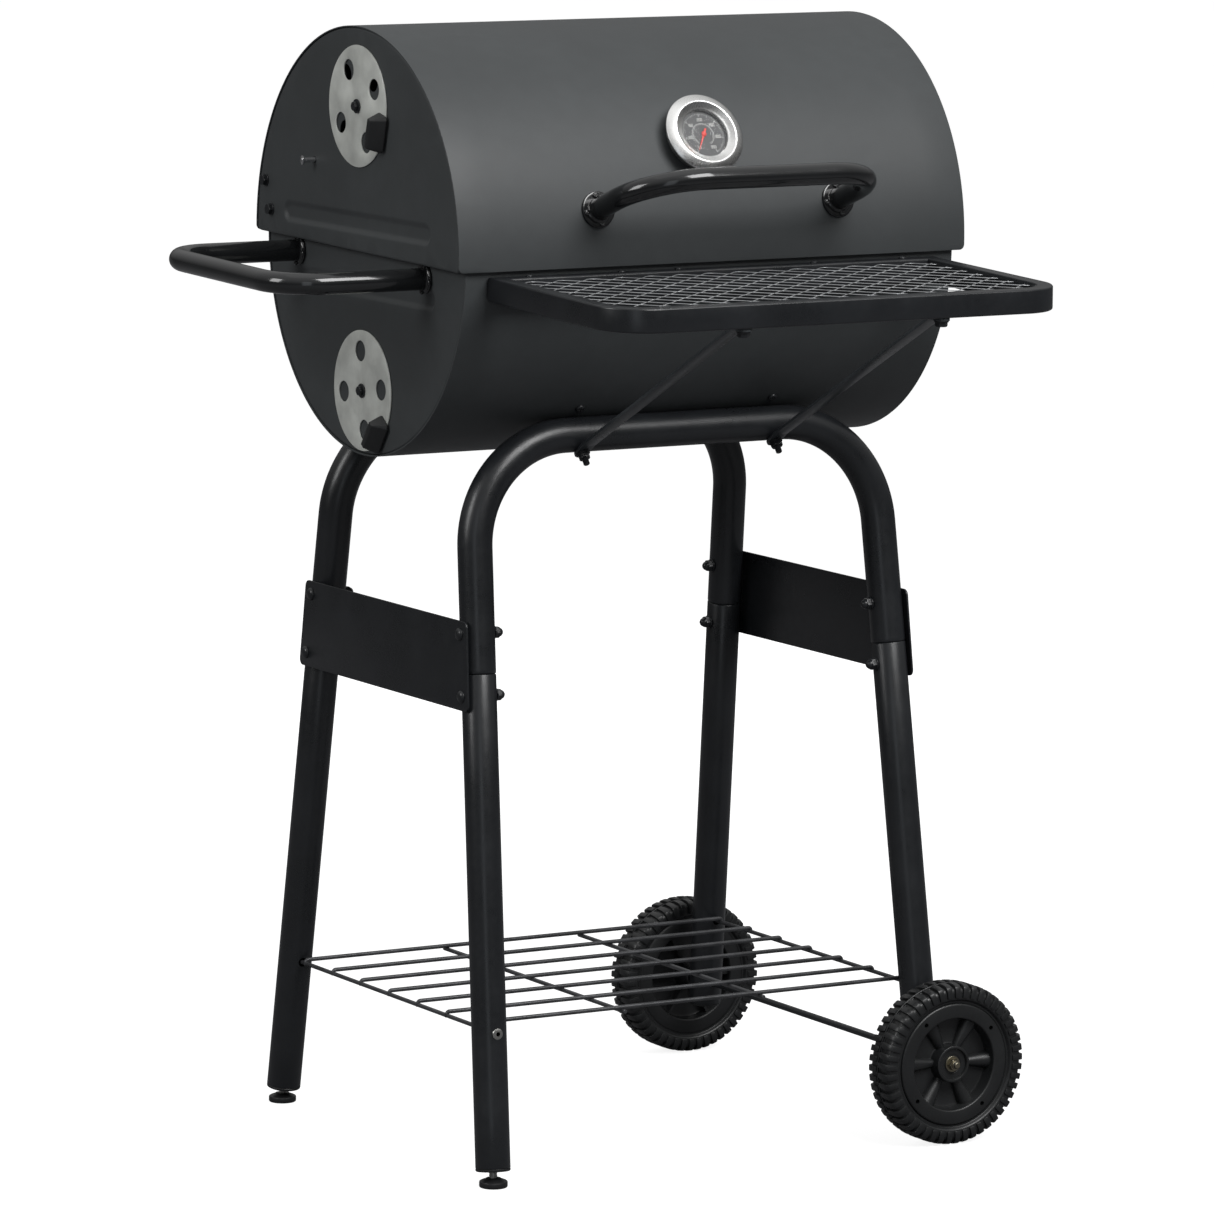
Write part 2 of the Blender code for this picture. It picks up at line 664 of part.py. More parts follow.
# ---------------------------------------------------------------- grates
def make_grate(name, z, half_x, margin, frame_r, bar_r, pitch, cross_r):
    """Wire frame inside the body, bars from front to back and two cross wires below."""
    drop = z - BODY_Z
    half_y = math.sqrt((BODY_R - BODY_T - margin) ** 2 - drop * drop)
    bm = bmesh.new()
    for side in (-1, 1):
        add_x_rod(bm, -half_x - frame_r, half_x + frame_r, side * half_y, z, frame_r, 8, 0.5)
    grate = finish(name, bm, ENAMEL, (0, 0, z))
    bm = bmesh.new()
    end_y = half_y + frame_r - 0.2
    for side in (-1, 1):
        add_y_rod(bm, side * half_x, -end_y, end_y, z + 0.05, frame_r - 0.1, 8, 0.5)
    join(grate, bm)
    spaces = int((2 * half_x) / pitch)
    bm = bmesh.new()
    for k in range(1, spaces):
        x = -half_x + 2 * half_x / spaces * k
        add_y_rod(bm, x, -half_y - 0.6, half_y + 0.6, z + frame_r * 0.6, bar_r, 5, 0.5)
    join(grate, bm)
    bm = bmesh.new()
    for y in (-half_y / 3, half_y / 3):
        add_x_rod(bm, -half_x - 0.7, half_x + 0.7, y, z - 0.7, cross_r, 6, 0.5)
    join(grate, bm)


# ---------------------------------------------------------------- side handle
def make_side_handle():
    middle_y, middle_z = 7.5, 819.5
    half_width = 123.0
    slope = 0.0215             # rises to the rear
    bar_x = -396.0
    bend_r = 46.0
    rear, front = [(middle_y + side * half_width, middle_z + side * half_width * slope)
                   for side in (1, -1)]
    foot_x = -BODY_END_X - 2.0
    path = rounded([(foot_x, *rear), (bar_x, *rear), (bar_x, *front), (foot_x, *front)],
                   bend_r, 5)
    handle = finish("side_handle", solid(add_tube, path, HANDLE_R, 12), GLOSS_BLACK,
                    (-BODY_END_X, middle_y, middle_z))
    plate_x = -BODY_END_X - GAP
    for foot in (rear, front):
        join(handle, solid(add_x_rod, plate_x, plate_x - 2.5, *foot, 13.2, 16))


# ---------------------------------------------------------------- stand
def leg_at(side, end, z):
    """Centre of a leg at a height; side is -1 left, 1 right, end is -1 front, 1 rear."""
    drop = LEG_REF_Z - z
    return Vector((side * (LEG_REF_X + SPLAY * drop), end * (LEG_REF_Y + LEAN * drop), z))


def make_u_frame(name, end):
    """U tube whose two ends are swaged down to spigots that plug into the lower legs."""
    bend_z = JOINT_Z + 6
    bend = rounded([leg_at(-1, end, bend_z), leg_at(-1, end, FRAME_TOP_Z),
                    leg_at(1, end, FRAME_TOP_Z), leg_at(1, end, bend_z)], FRAME_BEND, 5)
    bore_r = SPIGOT_R - TUBE_WALL
    # z, outer radius, inner radius
    swage = [(SPIGOT_END_Z, SPIGOT_R, bore_r), (JOINT_Z, SPIGOT_R, bore_r),
             (JOINT_Z + GAP, TUBE_R, bore_r)]
    heights, outer, inner = [list(column) for column in zip(*swage)]
    path = [leg_at(-1, end, z) for z in heights] + bend
    path += [leg_at(1, end, z) for z in reversed(heights)]
    outer_r = outer + [TUBE_R] * len(bend) + outer[::-1]
    inner_r = inner + [TUBE_R - TUBE_WALL] * len(bend) + inner[::-1]
    return finish(name, solid(add_tube, path, outer_r, 12, inner_r), POWDER_COAT,
                  (0, end * LEG_REF_Y, FRAME_TOP_Z))


def make_lower_leg(name, side, end):
    """Lower leg tube, bored for the bottom rack and, on the right, for the axle."""
    top = leg_at(side, end, JOINT_Z)
    bottom = leg_at(side, end, FOOT_LEG_Z if side < 0 else AXLE_LEG_Z)
    leg = finish(name, solid(add_tube, [top, bottom], TUBE_R, 12, TUBE_R - TUBE_WALL),
                 POWDER_COAT, top)
    holes = [(LOW_RACK_Z, 4.3)]
    if side > 0:
        holes.append((WHEEL_R, AXLE_R + GAP))
    for z, radius in holes:
        centre = leg_at(side, end, z)
        cut(leg, solid(add_y_rod, centre.x, centre.y - 30, centre.y + 30, z, radius, 12))


def saddle(side, end):
    """Point on a frame's top run, and the direction from it to the barrel axis."""
    centre = Vector((side * SADDLE_X, leg_at(side, end, FRAME_TOP_Z).y, FRAME_TOP_Z))
    return centre, (Vector((side * SADDLE_X, 0, BODY_Z)) - centre).normalized()


def make_saddle_bolt(number, side, end, frame, body_shell):
    """Bolt that ties the barrel to a frame: head under the tube, nut inside the barrel."""
    centre, inward = saddle(side, end)

    def hole(start, stop):
        return solid(add_cylinder, centre + inward * start, centre + inward * stop,
                     BOLT_HOLE_R, 10)

    # the frame is bored in two overlapping lengths
    cut(frame, hole(-40, 15))
    cut(frame, hole(5, 40))
    cut(body_shell, hole(14, 40))
    head = 25.5 if end < 0 else 19.5
    bolt = finish(f"saddle_bolt_{number}",
                  solid(add_hexagon, centre - inward * (head + BOLT_HEX_T),
                        centre - inward * head, BOLT_HEX), POWDER_COAT, centre)
    join(bolt, solid(add_cylinder, centre - inward * (head + 2.0), centre + inward * 27.0,
                     BOLT_R, 10))
    nut = TUBE_R + GAP + BODY_T + 1.6
    join(bolt, solid(add_hexagon, centre + inward * nut, centre + inward * (nut + BOLT_HEX_T),
                     BOLT_HEX))


def make_side_plate(name, side):
    """Plate across the outside of the two legs of one side."""
    top_z, bottom_z = 509.0, 428.0
    top_half, bottom_half = 157.0, 165.5

    def at(y, z, offset):
        return Vector((side * (LEG_REF_X + SPLAY * (LEG_REF_Z - z) + TUBE_R + offset), y, z))

    outline = [(-top_half, top_z), (top_half, top_z), (bottom_half, bottom_z),
               (-bottom_half, bottom_z)]
    faces = [[at(y, z, offset) for y, z in outline] for offset in (GAP + 0.02, GAP + 2.0)]
    finish(name, solid(add_loft, faces), POWDER_COAT, at(0, (top_z + bottom_z) / 2, 1))


def make_bottom_rack():
    """Wire rack carried by two rods that pass through the legs."""
    corner = leg_at(1, 1, LOW_RACK_Z)
    z = LOW_RACK_Z
    bm = bmesh.new()
    for side in (-1, 1):
        add_y_rod(bm, side * corner.x, -corner.y - 12.0, corner.y + 12.0, z,
                  LOW_RACK_WIRE_R, 8, 0.5)
    rack = finish("bottom_rack", bm, BLACK_WIRE, (0, 0, z))
    # wires from left to right, bent down over the rods
    rows, half_y = 7, 168.0
    end_x, high, low = corner.x + 0.4, z + 3.4, z - 1.0
    bm = bmesh.new()
    for k in range(rows):
        y = -half_y + 2 * half_y * k / (rows - 1)
        corners = [(-end_x, y, low), (-end_x, y, high), (end_x, y, high), (end_x, y, low)]
        add_tube(bm, rounded(corners, 2.4, 1), LOW_RACK_WIRE_R, 6, phase=0.5)
    join(rack, bm)
    # two wires from front to back
    bm = bmesh.new()
    for x in (-76.0, 72.0):
        add_y_rod(bm, x, -half_y - 6.0, half_y + 6.0, z + 0.4, LOW_RACK_WIRE_R, 6, 0.5)
    join(rack, bm)


# ---------------------------------------------------------------- axle, wheels and feet
HALF_W = WHEEL_W / 2
BORE_R = AXLE_R + GAP
TYRE_IN_R = 58.0
RIM_R = TYRE_IN_R - GAP
NUT_IN_R = AXLE_R + 0.25
# (radius, distance outwards from the wheel's centre plane)
TYRE = [(TYRE_IN_R, -HALF_W + 4), (62.0, -HALF_W), (70.5, -HALF_W), (75.0, -HALF_W + 4.5),
        (WHEEL_R, -HALF_W + 9), (WHEEL_R, HALF_W - 9), (75.0, HALF_W - 4.5), (70.5, HALF_W),
        (62.0, HALF_W), (TYRE_IN_R, HALF_W - 4)]
# outer band, dished web, hub
RIM = [(RIM_R, -HALF_W + 4), (RIM_R, HALF_W - 4), (56.0, HALF_W - 2.4), (46.0, HALF_W - 4.0),
       (42.0, 5.0), (17.0, 5.0), (15.5, HALF_W - 4), (BORE_R, HALF_W - 4),
       (BORE_R, -HALF_W - 3.0), (12.0, -HALF_W - 3.0), (15.5, -5.0), (42.0, 0.0),
       (43.5, -HALF_W + 6), (54.0, -HALF_W + 4)]
AXLE_NUT = [(NUT_IN_R, HALF_W - 3.6), (6.6, HALF_W - 3.6), (6.6, HALF_W - 0.4),
            (4.6, HALF_W + 2.6), (0.0, HALF_W + 3.4), (0.0, HALF_W + 2.4),
            (NUT_IN_R, HALF_W + 2.4)]
# (radius, distance up the leg from its bottom)
LEG_PLUG = [(4.3, -2.6), (15.6, -2.6), (16.0, -1.6), (16.0, -GAP), (SPIGOT_R, -GAP),
            (SPIGOT_R, 12.0), (4.3, 12.0)]
# (radius, height above the floor)
FOOT_PAD = [(0.0, 0.0), (12.2, 0.0), (13.0, 1.2), (13.0, 5.0), (9.5, 7.2), (6.0, 7.6),
            (4.0, 7.6), (4.0, 9.0), (0.0, 9.0)]


def make_axle():
    x = leg_at(1, 1, WHEEL_R).x
    end_y = WHEEL_Y + HALF_W + 2.0
    finish("axle", solid(add_y_rod, x, -end_y, end_y, WHEEL_R, AXLE_R, 12), POWDER_COAT,
           (x, 0, WHEEL_R))


def make_wheel(tag, end):
    centre = Vector((leg_at(1, 1, WHEEL_R).x, end * WHEEL_Y, WHEEL_R))
    outward = Vector((0, end, 0))
    for name, profile, sides, mat, origin in (
            ("wheel_tyre_", TYRE, 28, PLASTIC, centre),
            ("wheel_rim_", RIM, 28, PLASTIC, centre),
            ("axle_nut_", AXLE_NUT, 12, ZINC_STEEL, centre + outward * HALF_W)):
        finish(name + tag, solid(add_revolved, profile, centre, outward, sides), mat, origin)


def make_foot(tag, end):
    """Cap pressed into the leg, and an upright pad whose stud runs up through the cap."""
    bottom = leg_at(-1, end, FOOT_LEG_Z)
    up_leg = (leg_at(-1, end, FOOT_LEG_Z + 30) - bottom).normalized()
    finish("leg_plug_" + tag, solid(add_revolved, LEG_PLUG, bottom, up_leg, 14), PLASTIC,
           bottom)
    pad = leg_at(-1, end, 3.0)
    pad.z = 0.0
    foot = finish("foot_" + tag, solid(add_revolved, FOOT_PAD, pad, (0, 0, 1), 16), PLASTIC,
                  pad)
    join(foot, solid(add_cylinder, leg_at(-1, end, 4.0), bottom + up_leg * 24.0, 3.95, 12))


# ---------------------------------------------------------------- shelf
def shelf_z(y):
    return SHELF_TOP + SHELF_SLOPE * (y - SHELF_Y)


def shelf_outline(inset):
    """Closed plan outline with round front corners."""
    half_x, front, back = SHELF_X - inset, SHELF_Y + inset, SHELF_BACK_Y - inset
    r = SHELF_CORNER_R - inset
    points = [(-half_x, back)]
    for centre_x, start in ((-half_x + r, math.pi), (half_x - r, 1.5 * math.pi)):
        for k in range(7):
            a = start + (math.pi / 2) * k / 6
            points.append((centre_x + r * math.cos(a), front + r + r * math.sin(a)))
    points.append((half_x, back))
    return points


def make_shelf_frame():
    """Closed rail with chamfered edges; its rear run follows the barrel."""
    chamfer = 2.5
    # (inset from the outline, height from the shelf top)
    section = [(0, -SHELF_H + chamfer), (0, -chamfer), (chamfer, 0), (SHELF_W - chamfer, 0),
               (SHELF_W, -chamfer), (SHELF_W, -SHELF_H + chamfer),
               (SHELF_W - chamfer, -SHELF_H), (chamfer, -SHELF_H)]
    bm = bmesh.new()
    rows = add_loops(bm, [[(x, y, shelf_z(y) + dz) for x, y in shelf_outline(inset)]
                          for inset, dz in section])
    for first, second in zip(rows, rows[1:] + rows[:1]):
        bridge(bm, first, second)
    frame = finish("shelf_frame", bm, POWDER_COAT, (0, SHELF_BACK_Y, shelf_z(SHELF_BACK_Y)))
    cut(frame, solid(add_x_rod, -BODY_X - 10, BODY_X + 10, 0, BODY_Z, BODY_R + GAP, 120))
    return frame


def make_shelf_mesh():
    """Expanded metal panel: a thin plate with staggered rows of diamond openings."""
    pitch_x, pitch_y, strand = 72.0, 40.0, 5.0
    drop, thickness = 3.0, 1.5     # below the top of the rails
    inset = SHELF_W + GAP
    half_x = SHELF_X - SHELF_W - GAP
    front, back = SHELF_Y + inset, SHELF_BACK_Y - SHELF_W - GAP

    outline = shelf_outline(inset)
    plate = [[(x, y, shelf_z(y) - drop - below) for x, y in outline]
             for below in (thickness, 0)]
    panel = finish("shelf_mesh", solid(add_loft, plate), BLACK_WIRE,
                   (0, (front + back) / 2, SHELF_TOP))

    diamond_x, diamond_y = pitch_x / 2 - strand * 0.9, pitch_y / 2 - strand * 0.55
    corner_x, corner_y = half_x - SHELF_CORNER_R, front + SHELF_CORNER_R
    rows = int((back - front - 8) / (pitch_y / 2))
    first_y = (front + back) / 2 - (rows - 1) * pitch_y / 4
    bm = bmesh.new()
    for row in range(rows):
        y = first_y + row * pitch_y / 2
        z = shelf_z(y) - drop
        stagger = 0.0 if row % 2 == 0 else pitch_x / 2
        for column in range(-6, 7):
            x = column * pitch_x + stagger
            # keep a solid margin along the edges and in the front corners
            past_x, past_y = abs(x) - corner_x, corner_y - y
            if abs(x) + diamond_x > half_x - 4:
                continue
            if y - diamond_y < front + 3 or y + diamond_y > back - 3:
                continue
            if past_x > 0 and past_y > 0 and past_x + past_y > SHELF_CORNER_R:
                continue
            add_loft(bm, [[(x - diamond_x, y, level), (x, y - diamond_y, level),
                           (x + diamond_x, y, level), (x, y + diamond_y, level)]
                          for level in (z - 6, z + 6)])
    cut(panel, bm)


def make_shelf_brace(tag, side, shelf_frame):
    """Flat bar with bent tabs, from the front frame up to the front rail, and its bolt."""
    half_w, half_t = 7.0, 1.4
    centre, inward = saddle(side, -1)
    foot = centre - inward * (TUBE_R + GAP + half_t)
    across = Vector((1, 0, 0))
    # direction square to the saddle bolt, towards the front
    tab = inward.cross(across)
    if tab.y > 0:
        tab = -tab
    top = Vector((side * SADDLE_X, SHELF_Y + SHELF_W / 2 + 3.0, 0))
    top.z = shelf_z(top.y) - SHELF_H - GAP - half_t
    forward = Vector((0, -1, -SHELF_SLOPE)).normalized()
    # centre line of the strip
    line = rounded([foot - tab * 9.0, foot + tab * 12.0, top - forward * 11.0,
                    top + forward * 8.0], [0, 5.0, 5.0, 0], 3)
    loops = []
    for point, along in zip(line, tangents(line)):
        normal = along.cross(across).normalized()
        loops.append([point + across * a * half_w + normal * b * half_t
                      for a, b in ((-1, -1), (1, -1), (1, 1), (-1, 1))])
    brace = finish("shelf_brace_" + tag, solid(add_loft, loops), POWDER_COAT, foot)

    def above(height):
        return (top.x, top.y, top.z + height)

    bm = solid(add_cylinder, centre - inward * 40, centre - inward * 10, BOLT_HOLE_R, 10)
    add_cylinder(bm, above(-12), above(12), BOLT_HOLE_R, 10)
    cut(brace, bm)
    cut(shelf_frame, solid(add_cylinder, above(-8), above(14), BOLT_HOLE_R, 10))
    # bolt up into the rail
    bolt = finish("brace_bolt_" + tag,
                  solid(add_hexagon, above(-2.0), above(-2.0 - BOLT_HEX_T), BOLT_HEX),
                  POWDER_COAT, top)
    join(bolt, solid(add_cylinder, above(-4.0), above(12.0), BOLT_R, 10))


# ---------------------------------------------------------------- assembly
def centre_on_footprint():
    """Move everything so that the middle of the footprint is at x = y = 0."""
    bpy.context.view_layer.update()
    points = [ob.matrix_world @ v.co for ob in bpy.data.objects for v in ob.data.vertices]
    middle_x, middle_y = [(min(p[i] for p in points) + max(p[i] for p in points)) / 2
                          for i in (0, 1)]
    for ob in bpy.data.objects:
        ob.location.x -= middle_x
        ob.location.y -= middle_y


def build_barrel():
    body_shell = make_body_shell()
    lid_shell = make_lid_shell()
    make_end_plates()
    make_damper("upper", LID_END_X, VENT_UP, VENT_UP_ANGLE)
    make_damper("lower", BODY_END_X, VENT_LOW, VENT_LOW_ANGLE)
    make_lid_handle()
    make_thermometer(lid_shell)
    for tag, side in SIDES:
        make_hinge(tag, side)
    make_warming_rack()
    make_rack_crank()
    make_grate("cooking_grate", z=806.0, half_x=236.0, margin=6.0, frame_r=3.4, bar_r=2.4,
               pitch=52.0, cross_r=3.2)
    make_grate("charcoal_grate", z=722.0, half_x=232.0, margin=6.5, frame_r=3.6, bar_r=2.6,
               pitch=66.0, cross_r=3.4)
    make_side_handle()
    return body_shell


def build_stand(body_shell):
    number = 0
    for end_tag, end in FRONT_REAR:
        frame = make_u_frame("frame_" + end_tag, end)
        for side_tag, side in SIDES:
            make_lower_leg(f"leg_{end_tag}_{side_tag}", side, end)
            number += 1
            make_saddle_bolt(number, side, end, frame, body_shell)
    for tag, side in SIDES:
        make_side_plate("side_plate_" + tag, side)
    make_bottom_rack()
    make_axle()
    for tag, end in FRONT_REAR:
        make_wheel(tag, end)
        make_foot(tag, end)


def build_shelf():
    shelf_frame = make_shelf_frame()
    make_shelf_mesh()
    for tag, side in SIDES:
        make_shelf_brace(tag, side, shelf_frame)


build_stand(build_barrel())
build_shelf()
centre_on_footprint()
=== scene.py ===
"""Barrel charcoal grill: a drum with hinged lid, on a stand of bent tube with shelf and two wheels.

Lengths are design millimetres: x runs along the drum, -y is the front (shelf and lid handle),
+y the rear (hinges), z up from the floor. The left end (-x) carries the dampers, the side
handle and the levelling feet, the right end (+x) the wheels. Meshes are moved into the CAD
frame, in metres, as they are made.
"""
import json
import random
from math import asin, atan2, cos, degrees, hypot, pi, radians, sin, sqrt, tan

import bmesh
import bpy
from mathutils import Matrix, Vector
from mathutils.geometry import delaunay_2d_cdt


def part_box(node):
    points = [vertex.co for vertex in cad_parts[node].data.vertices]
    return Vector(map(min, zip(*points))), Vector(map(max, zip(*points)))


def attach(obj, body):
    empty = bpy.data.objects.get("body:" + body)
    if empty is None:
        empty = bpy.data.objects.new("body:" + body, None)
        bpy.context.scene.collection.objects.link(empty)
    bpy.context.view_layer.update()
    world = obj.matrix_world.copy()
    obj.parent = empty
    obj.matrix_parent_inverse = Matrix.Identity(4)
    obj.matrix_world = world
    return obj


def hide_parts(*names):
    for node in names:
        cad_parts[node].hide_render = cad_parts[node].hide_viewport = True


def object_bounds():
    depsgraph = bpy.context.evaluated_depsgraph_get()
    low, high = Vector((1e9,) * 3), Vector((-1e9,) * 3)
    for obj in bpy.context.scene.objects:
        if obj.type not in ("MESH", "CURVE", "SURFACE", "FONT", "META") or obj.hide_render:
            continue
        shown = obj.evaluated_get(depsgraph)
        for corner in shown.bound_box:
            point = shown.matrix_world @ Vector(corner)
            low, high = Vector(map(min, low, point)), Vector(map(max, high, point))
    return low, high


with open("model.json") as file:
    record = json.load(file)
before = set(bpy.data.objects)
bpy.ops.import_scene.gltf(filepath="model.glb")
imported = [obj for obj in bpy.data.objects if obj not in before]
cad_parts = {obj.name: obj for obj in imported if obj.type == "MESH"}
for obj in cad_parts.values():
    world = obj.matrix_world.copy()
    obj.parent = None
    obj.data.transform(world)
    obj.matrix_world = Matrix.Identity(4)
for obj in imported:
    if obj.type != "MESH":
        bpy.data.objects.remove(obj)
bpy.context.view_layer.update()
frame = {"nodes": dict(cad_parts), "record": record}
random.seed(7)

# ---------------------------------------------------------------- driving dimensions
MM = 0.001
SIDES = (("left", -1), ("right", 1))
ENDS = (("front", -1), ("rear", 1))

HINGE_X, HINGE_Y, HINGE_Z = 190.0, 206.0, 826.0
hinge_joint = next(j for j in frame["record"]["behaviour"]["joints"] if j["name"] == "lid_hinge")
OFFSET = Vector(hinge_joint["pos_m"]) - Vector((0.0, HINGE_Y * MM, HINGE_Z * MM))


def design_box(node):
    """Low and high corner of a CAD node in design millimetres."""
    low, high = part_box(node)
    return (Vector(low) - OFFSET) / MM, (Vector(high) - OFFSET) / MM


GAP = 0.3                                  # clearance between neighbouring parts
lid_low, lid_high = design_box("lid_shell")
LID_X, LID_R = lid_high.x, lid_high.y      # half length and radius
LID_Z = lid_high.z - LID_R                 # height of the lid's axis
LID_EDGE, LID_EDGE_REAR = lid_low.z, 836.0
LID_T = 1.2
body_high = design_box("body_shell")[1]
BODY_X, BODY_R, BODY_Z = body_high
BODY_T = 1.5
LID_PLATE_X = design_box("lid_end_right")[1].x
BODY_PLATE_X = design_box("body_end_right")[1].x

TUBE_R, TUBE_WALL = 16.0, 1.5
WHEEL_R, WHEEL_W, WHEEL_Y, AXLE_R = 76.0, 36.0, 240.7, 3.2
HANDLE_R = 10.0
RACK_PIVOT_Y, RACK_PIVOT_Z = 81.0, 910.0   # warming rack's wires in the lid ends
RACK_LENGTH = 158.0
CRANK_Y = HINGE_Y - RACK_LENGTH            # crank's lower pivot, level with the hinge


# ---------------------------------------------------------------- mesh helpers
def to_object(name, bm):
    """Turn a bmesh in design millimetres into a linked object in the CAD frame."""
    bmesh.ops.recalc_face_normals(bm, faces=bm.faces)
    for vert in bm.verts:
        vert.co = vert.co * MM + OFFSET
    mesh = bpy.data.meshes.new(name)
    bm.to_mesh(mesh)
    bm.free()
    ob = bpy.data.objects.new(name, mesh)
    bpy.context.scene.collection.objects.link(ob)
    return ob


def apply_modifiers(ob):
    graph = bpy.context.evaluated_depsgraph_get()
    mesh = bpy.data.meshes.new_from_object(ob.evaluated_get(graph))
    old = ob.data
    ob.modifiers.clear()
    ob.data = mesh
    bpy.data.meshes.remove(old)
    mesh.name = ob.name


def shade(ob, angle):
    """Smooth shading, sharp above an angle in degrees; 0 marks no sharp edges."""
    ob.data.shade_smooth()
    if angle:
        ob.data.set_sharp_from_angle(angle=radians(angle))


def make(name, bm, finish, body, replaced=None, smooth=35.0, bevel=0.0, segments=2, angle=32.0,
         weld=True):
    """Finished piece; finish is (material, slot), replaced the CAD node it stands for."""
    if weld:
        bmesh.ops.remove_doubles(bm, verts=bm.verts, dist=0.0005)
    ob = to_object(name, bm)
    material, slot = finish
    ob.data.materials.append(material)
    if bevel:
        modifier = ob.modifiers.new("b", "BEVEL")
        modifier.width = bevel * MM
        modifier.segments = segments
        modifier.limit_method = "ANGLE"
        modifier.angle_limit = radians(angle)
        modifier.use_clamp_overlap = True
        apply_modifiers(ob)
    shade(ob, smooth)
    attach(ob, body)
    if replaced:
        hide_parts(replaced)
    return ob


def cut(ob, bm):
    """Subtract a bmesh in design millimetres from a finished piece."""
    tool = to_object("tool", bm)
    bpy.context.view_layer.update()
    modifier = ob.modifiers.new("c", "BOOLEAN")
    modifier.operation = "DIFFERENCE"
    modifier.solver = "EXACT"
    modifier.object = tool
    material = ob.data.materials[0]
    apply_modifiers(ob)
    ob.data.materials.clear()
    ob.data.materials.append(material)
    for polygon in ob.data.polygons:
        polygon.material_index = 0
    bpy.data.objects.remove(tool, do_unlink=True)
    shade(ob, 35)


def bridge(bm, lower, upper):
    """Faces between two rings of vertices; a ring of one vertex is a pole."""
    count = max(len(lower), len(upper))
    if count == 1:
        return
    for i in range(count):
        j = (i + 1) % count
        if len(lower) == 1:
            bm.faces.new((lower[0], upper[i], upper[j]))
        elif len(upper) == 1:
            bm.faces.new((lower[i], lower[j], upper[0]))
        else:
            bm.faces.new((lower[i], lower[j], upper[j], upper[i]))


def skin(bm, rows):
    for lower, upper in zip(rows, rows[1:]):
        bridge(bm, lower, upper)


def cap(bm, rows):
    bm.faces.new(list(reversed(rows[0])))
    bm.faces.new(rows[-1])


def loft(bm, sections):
    """Capped solid through sections of equally many points."""
    rows = [[bm.verts.new(p) for p in section] for section in sections]
    skin(bm, rows)
    cap(bm, rows)


def frame_of(direction):
    """Two unit vectors across a direction, and the unit direction."""
    axis = Vector(direction).normalized()
    reference = Vector((0, 0, 1)) if abs(axis.z) < 0.9 else Vector((0, 1, 0))
    u = axis.cross(reference).normalized()
    return u, axis.cross(u).normalized(), axis


def ring(centre, u, v, radius, sides):
    centre = Vector(centre)
    turns = [2 * pi * i / sides for i in range(sides)]
    return [centre + u * (radius * cos(a)) + v * (radius * sin(a)) for a in turns]


def circle(centre, radius, sides):
    """Points (y, z) of a circle."""
    turns = [2 * pi * i / sides for i in range(sides)]
    return [(centre[0] + radius * cos(a), centre[1] + radius * sin(a)) for a in turns]


def cylinder(bm, start, end, radius, sides=32):
    start, end = Vector(start), Vector(end)
    u, v, _ = frame_of(end - start)
    loft(bm, [ring(start, u, v, radius, sides), ring(end, u, v, radius, sides)])


def revolve(bm, profile, origin, axis, sides):
    """Solid of revolution; profile is a loop of (radius, height along the axis)."""
    u, v, axis = frame_of(axis)
    origin = Vector(origin)
    rows = []
    for radius, height in profile:
        centre = origin + axis * height
        points = [centre] if radius < 1e-6 else ring(centre, u, v, radius, sides)
        rows.append([bm.verts.new(p) for p in points])
    skin(bm, rows + rows[:1])


def rounded(points, radius, steps):
    """Path with its inner corners rounded, by one radius or by one for each point."""
    points = [Vector(p) for p in points]
    radii = radius if isinstance(radius, list) else [radius] * len(points)
    out = [points[0]]
    for before, corner, after, r in zip(points, points[1:], points[2:], radii[1:]):
        if r <= 0:
            out.append(corner)
            continue
        a, b = (before - corner).normalized(), (after - corner).normalized()
        half = a.angle(b) / 2
        setback = r / tan(half)
        centre = corner + (a + b).normalized() * (r / sin(half))
        first = corner + a * setback - centre
        last = corner + b * setback - centre
        axis = first.cross(last).normalized()
        sweep = first.angle(last)
        for k in range(steps + 1):
            out.append(centre + Matrix.Rotation(sweep * k / steps, 3, axis) @ first)
    out.append(points[-1])
    return out


def eased_end(tip, neighbour, radius, ease):
    """Stations (point, radius) that round the end of a bar, from the tip inwards."""
    inward = (neighbour - tip).normalized()
    angles = [pi / 2 * k / 4 for k in range(4, -1, -1)]
    return [(tip + inward * (ease * (1 - sin(a))), radius - ease + ease * cos(a)) for a in angles]


def tube(bm, path, outer, inner=0, sides=32, ends=0.0):
    """Bar or pipe along a path; radii are one number or a list, ends rounds a bar's ends."""
    points = [Vector(p) for p in path]
    radii = list(outer) if isinstance(outer, list) else [outer] * len(points)
    if ends:
        stations = eased_end(points[0], points[1], radii[0], ends)
        stations += zip(points[1:-1], radii[1:-1])
        stations += reversed(eased_end(points[-1], points[-2], radii[-1], ends))
        points, radii = zip(*stations)
    bores = inner if isinstance(inner, list) else [inner] * len(points)
    steps = [(b - a).normalized() for a, b in zip(points, points[1:])]
    tangents = [steps[0]] + [(b + a).normalized() for a, b in zip(steps, steps[1:])] + [steps[-1]]
    u, v, _ = frame_of(tangents[0])
    outside, inside = [], []
    for i, point in enumerate(points):
        if i:
            turn = tangents[i - 1].rotation_difference(tangents[i])
            u = turn @ u
            v = turn @ v
        outside.append([bm.verts.new(p) for p in ring(point, u, v, radii[i], sides)])
        if inner:
            inside.append([bm.verts.new(p) for p in ring(point, u, v, bores[i], sides)])
    skin(bm, outside)
    for a, b in zip(inside, inside[1:]):
        for i in range(sides):
            j = (i + 1) % sides
            bm.faces.new((a[j], a[i], b[i], b[j]))
    if inner:
        bridge(bm, outside[0], inside[0])
        bridge(bm, outside[-1], inside[-1])
    else:
        cap(bm, outside)


def radial(angle):
    """Unit vector across the drum; angle in degrees from the front (-y), upwards."""
    return Vector((0, -cos(radians(angle)), sin(radians(angle))))


def on_drum(x, centre_z, radius, angle):
    a = radians(angle)
    return Vector((x, -radius * cos(a), centre_z + radius * sin(a)))


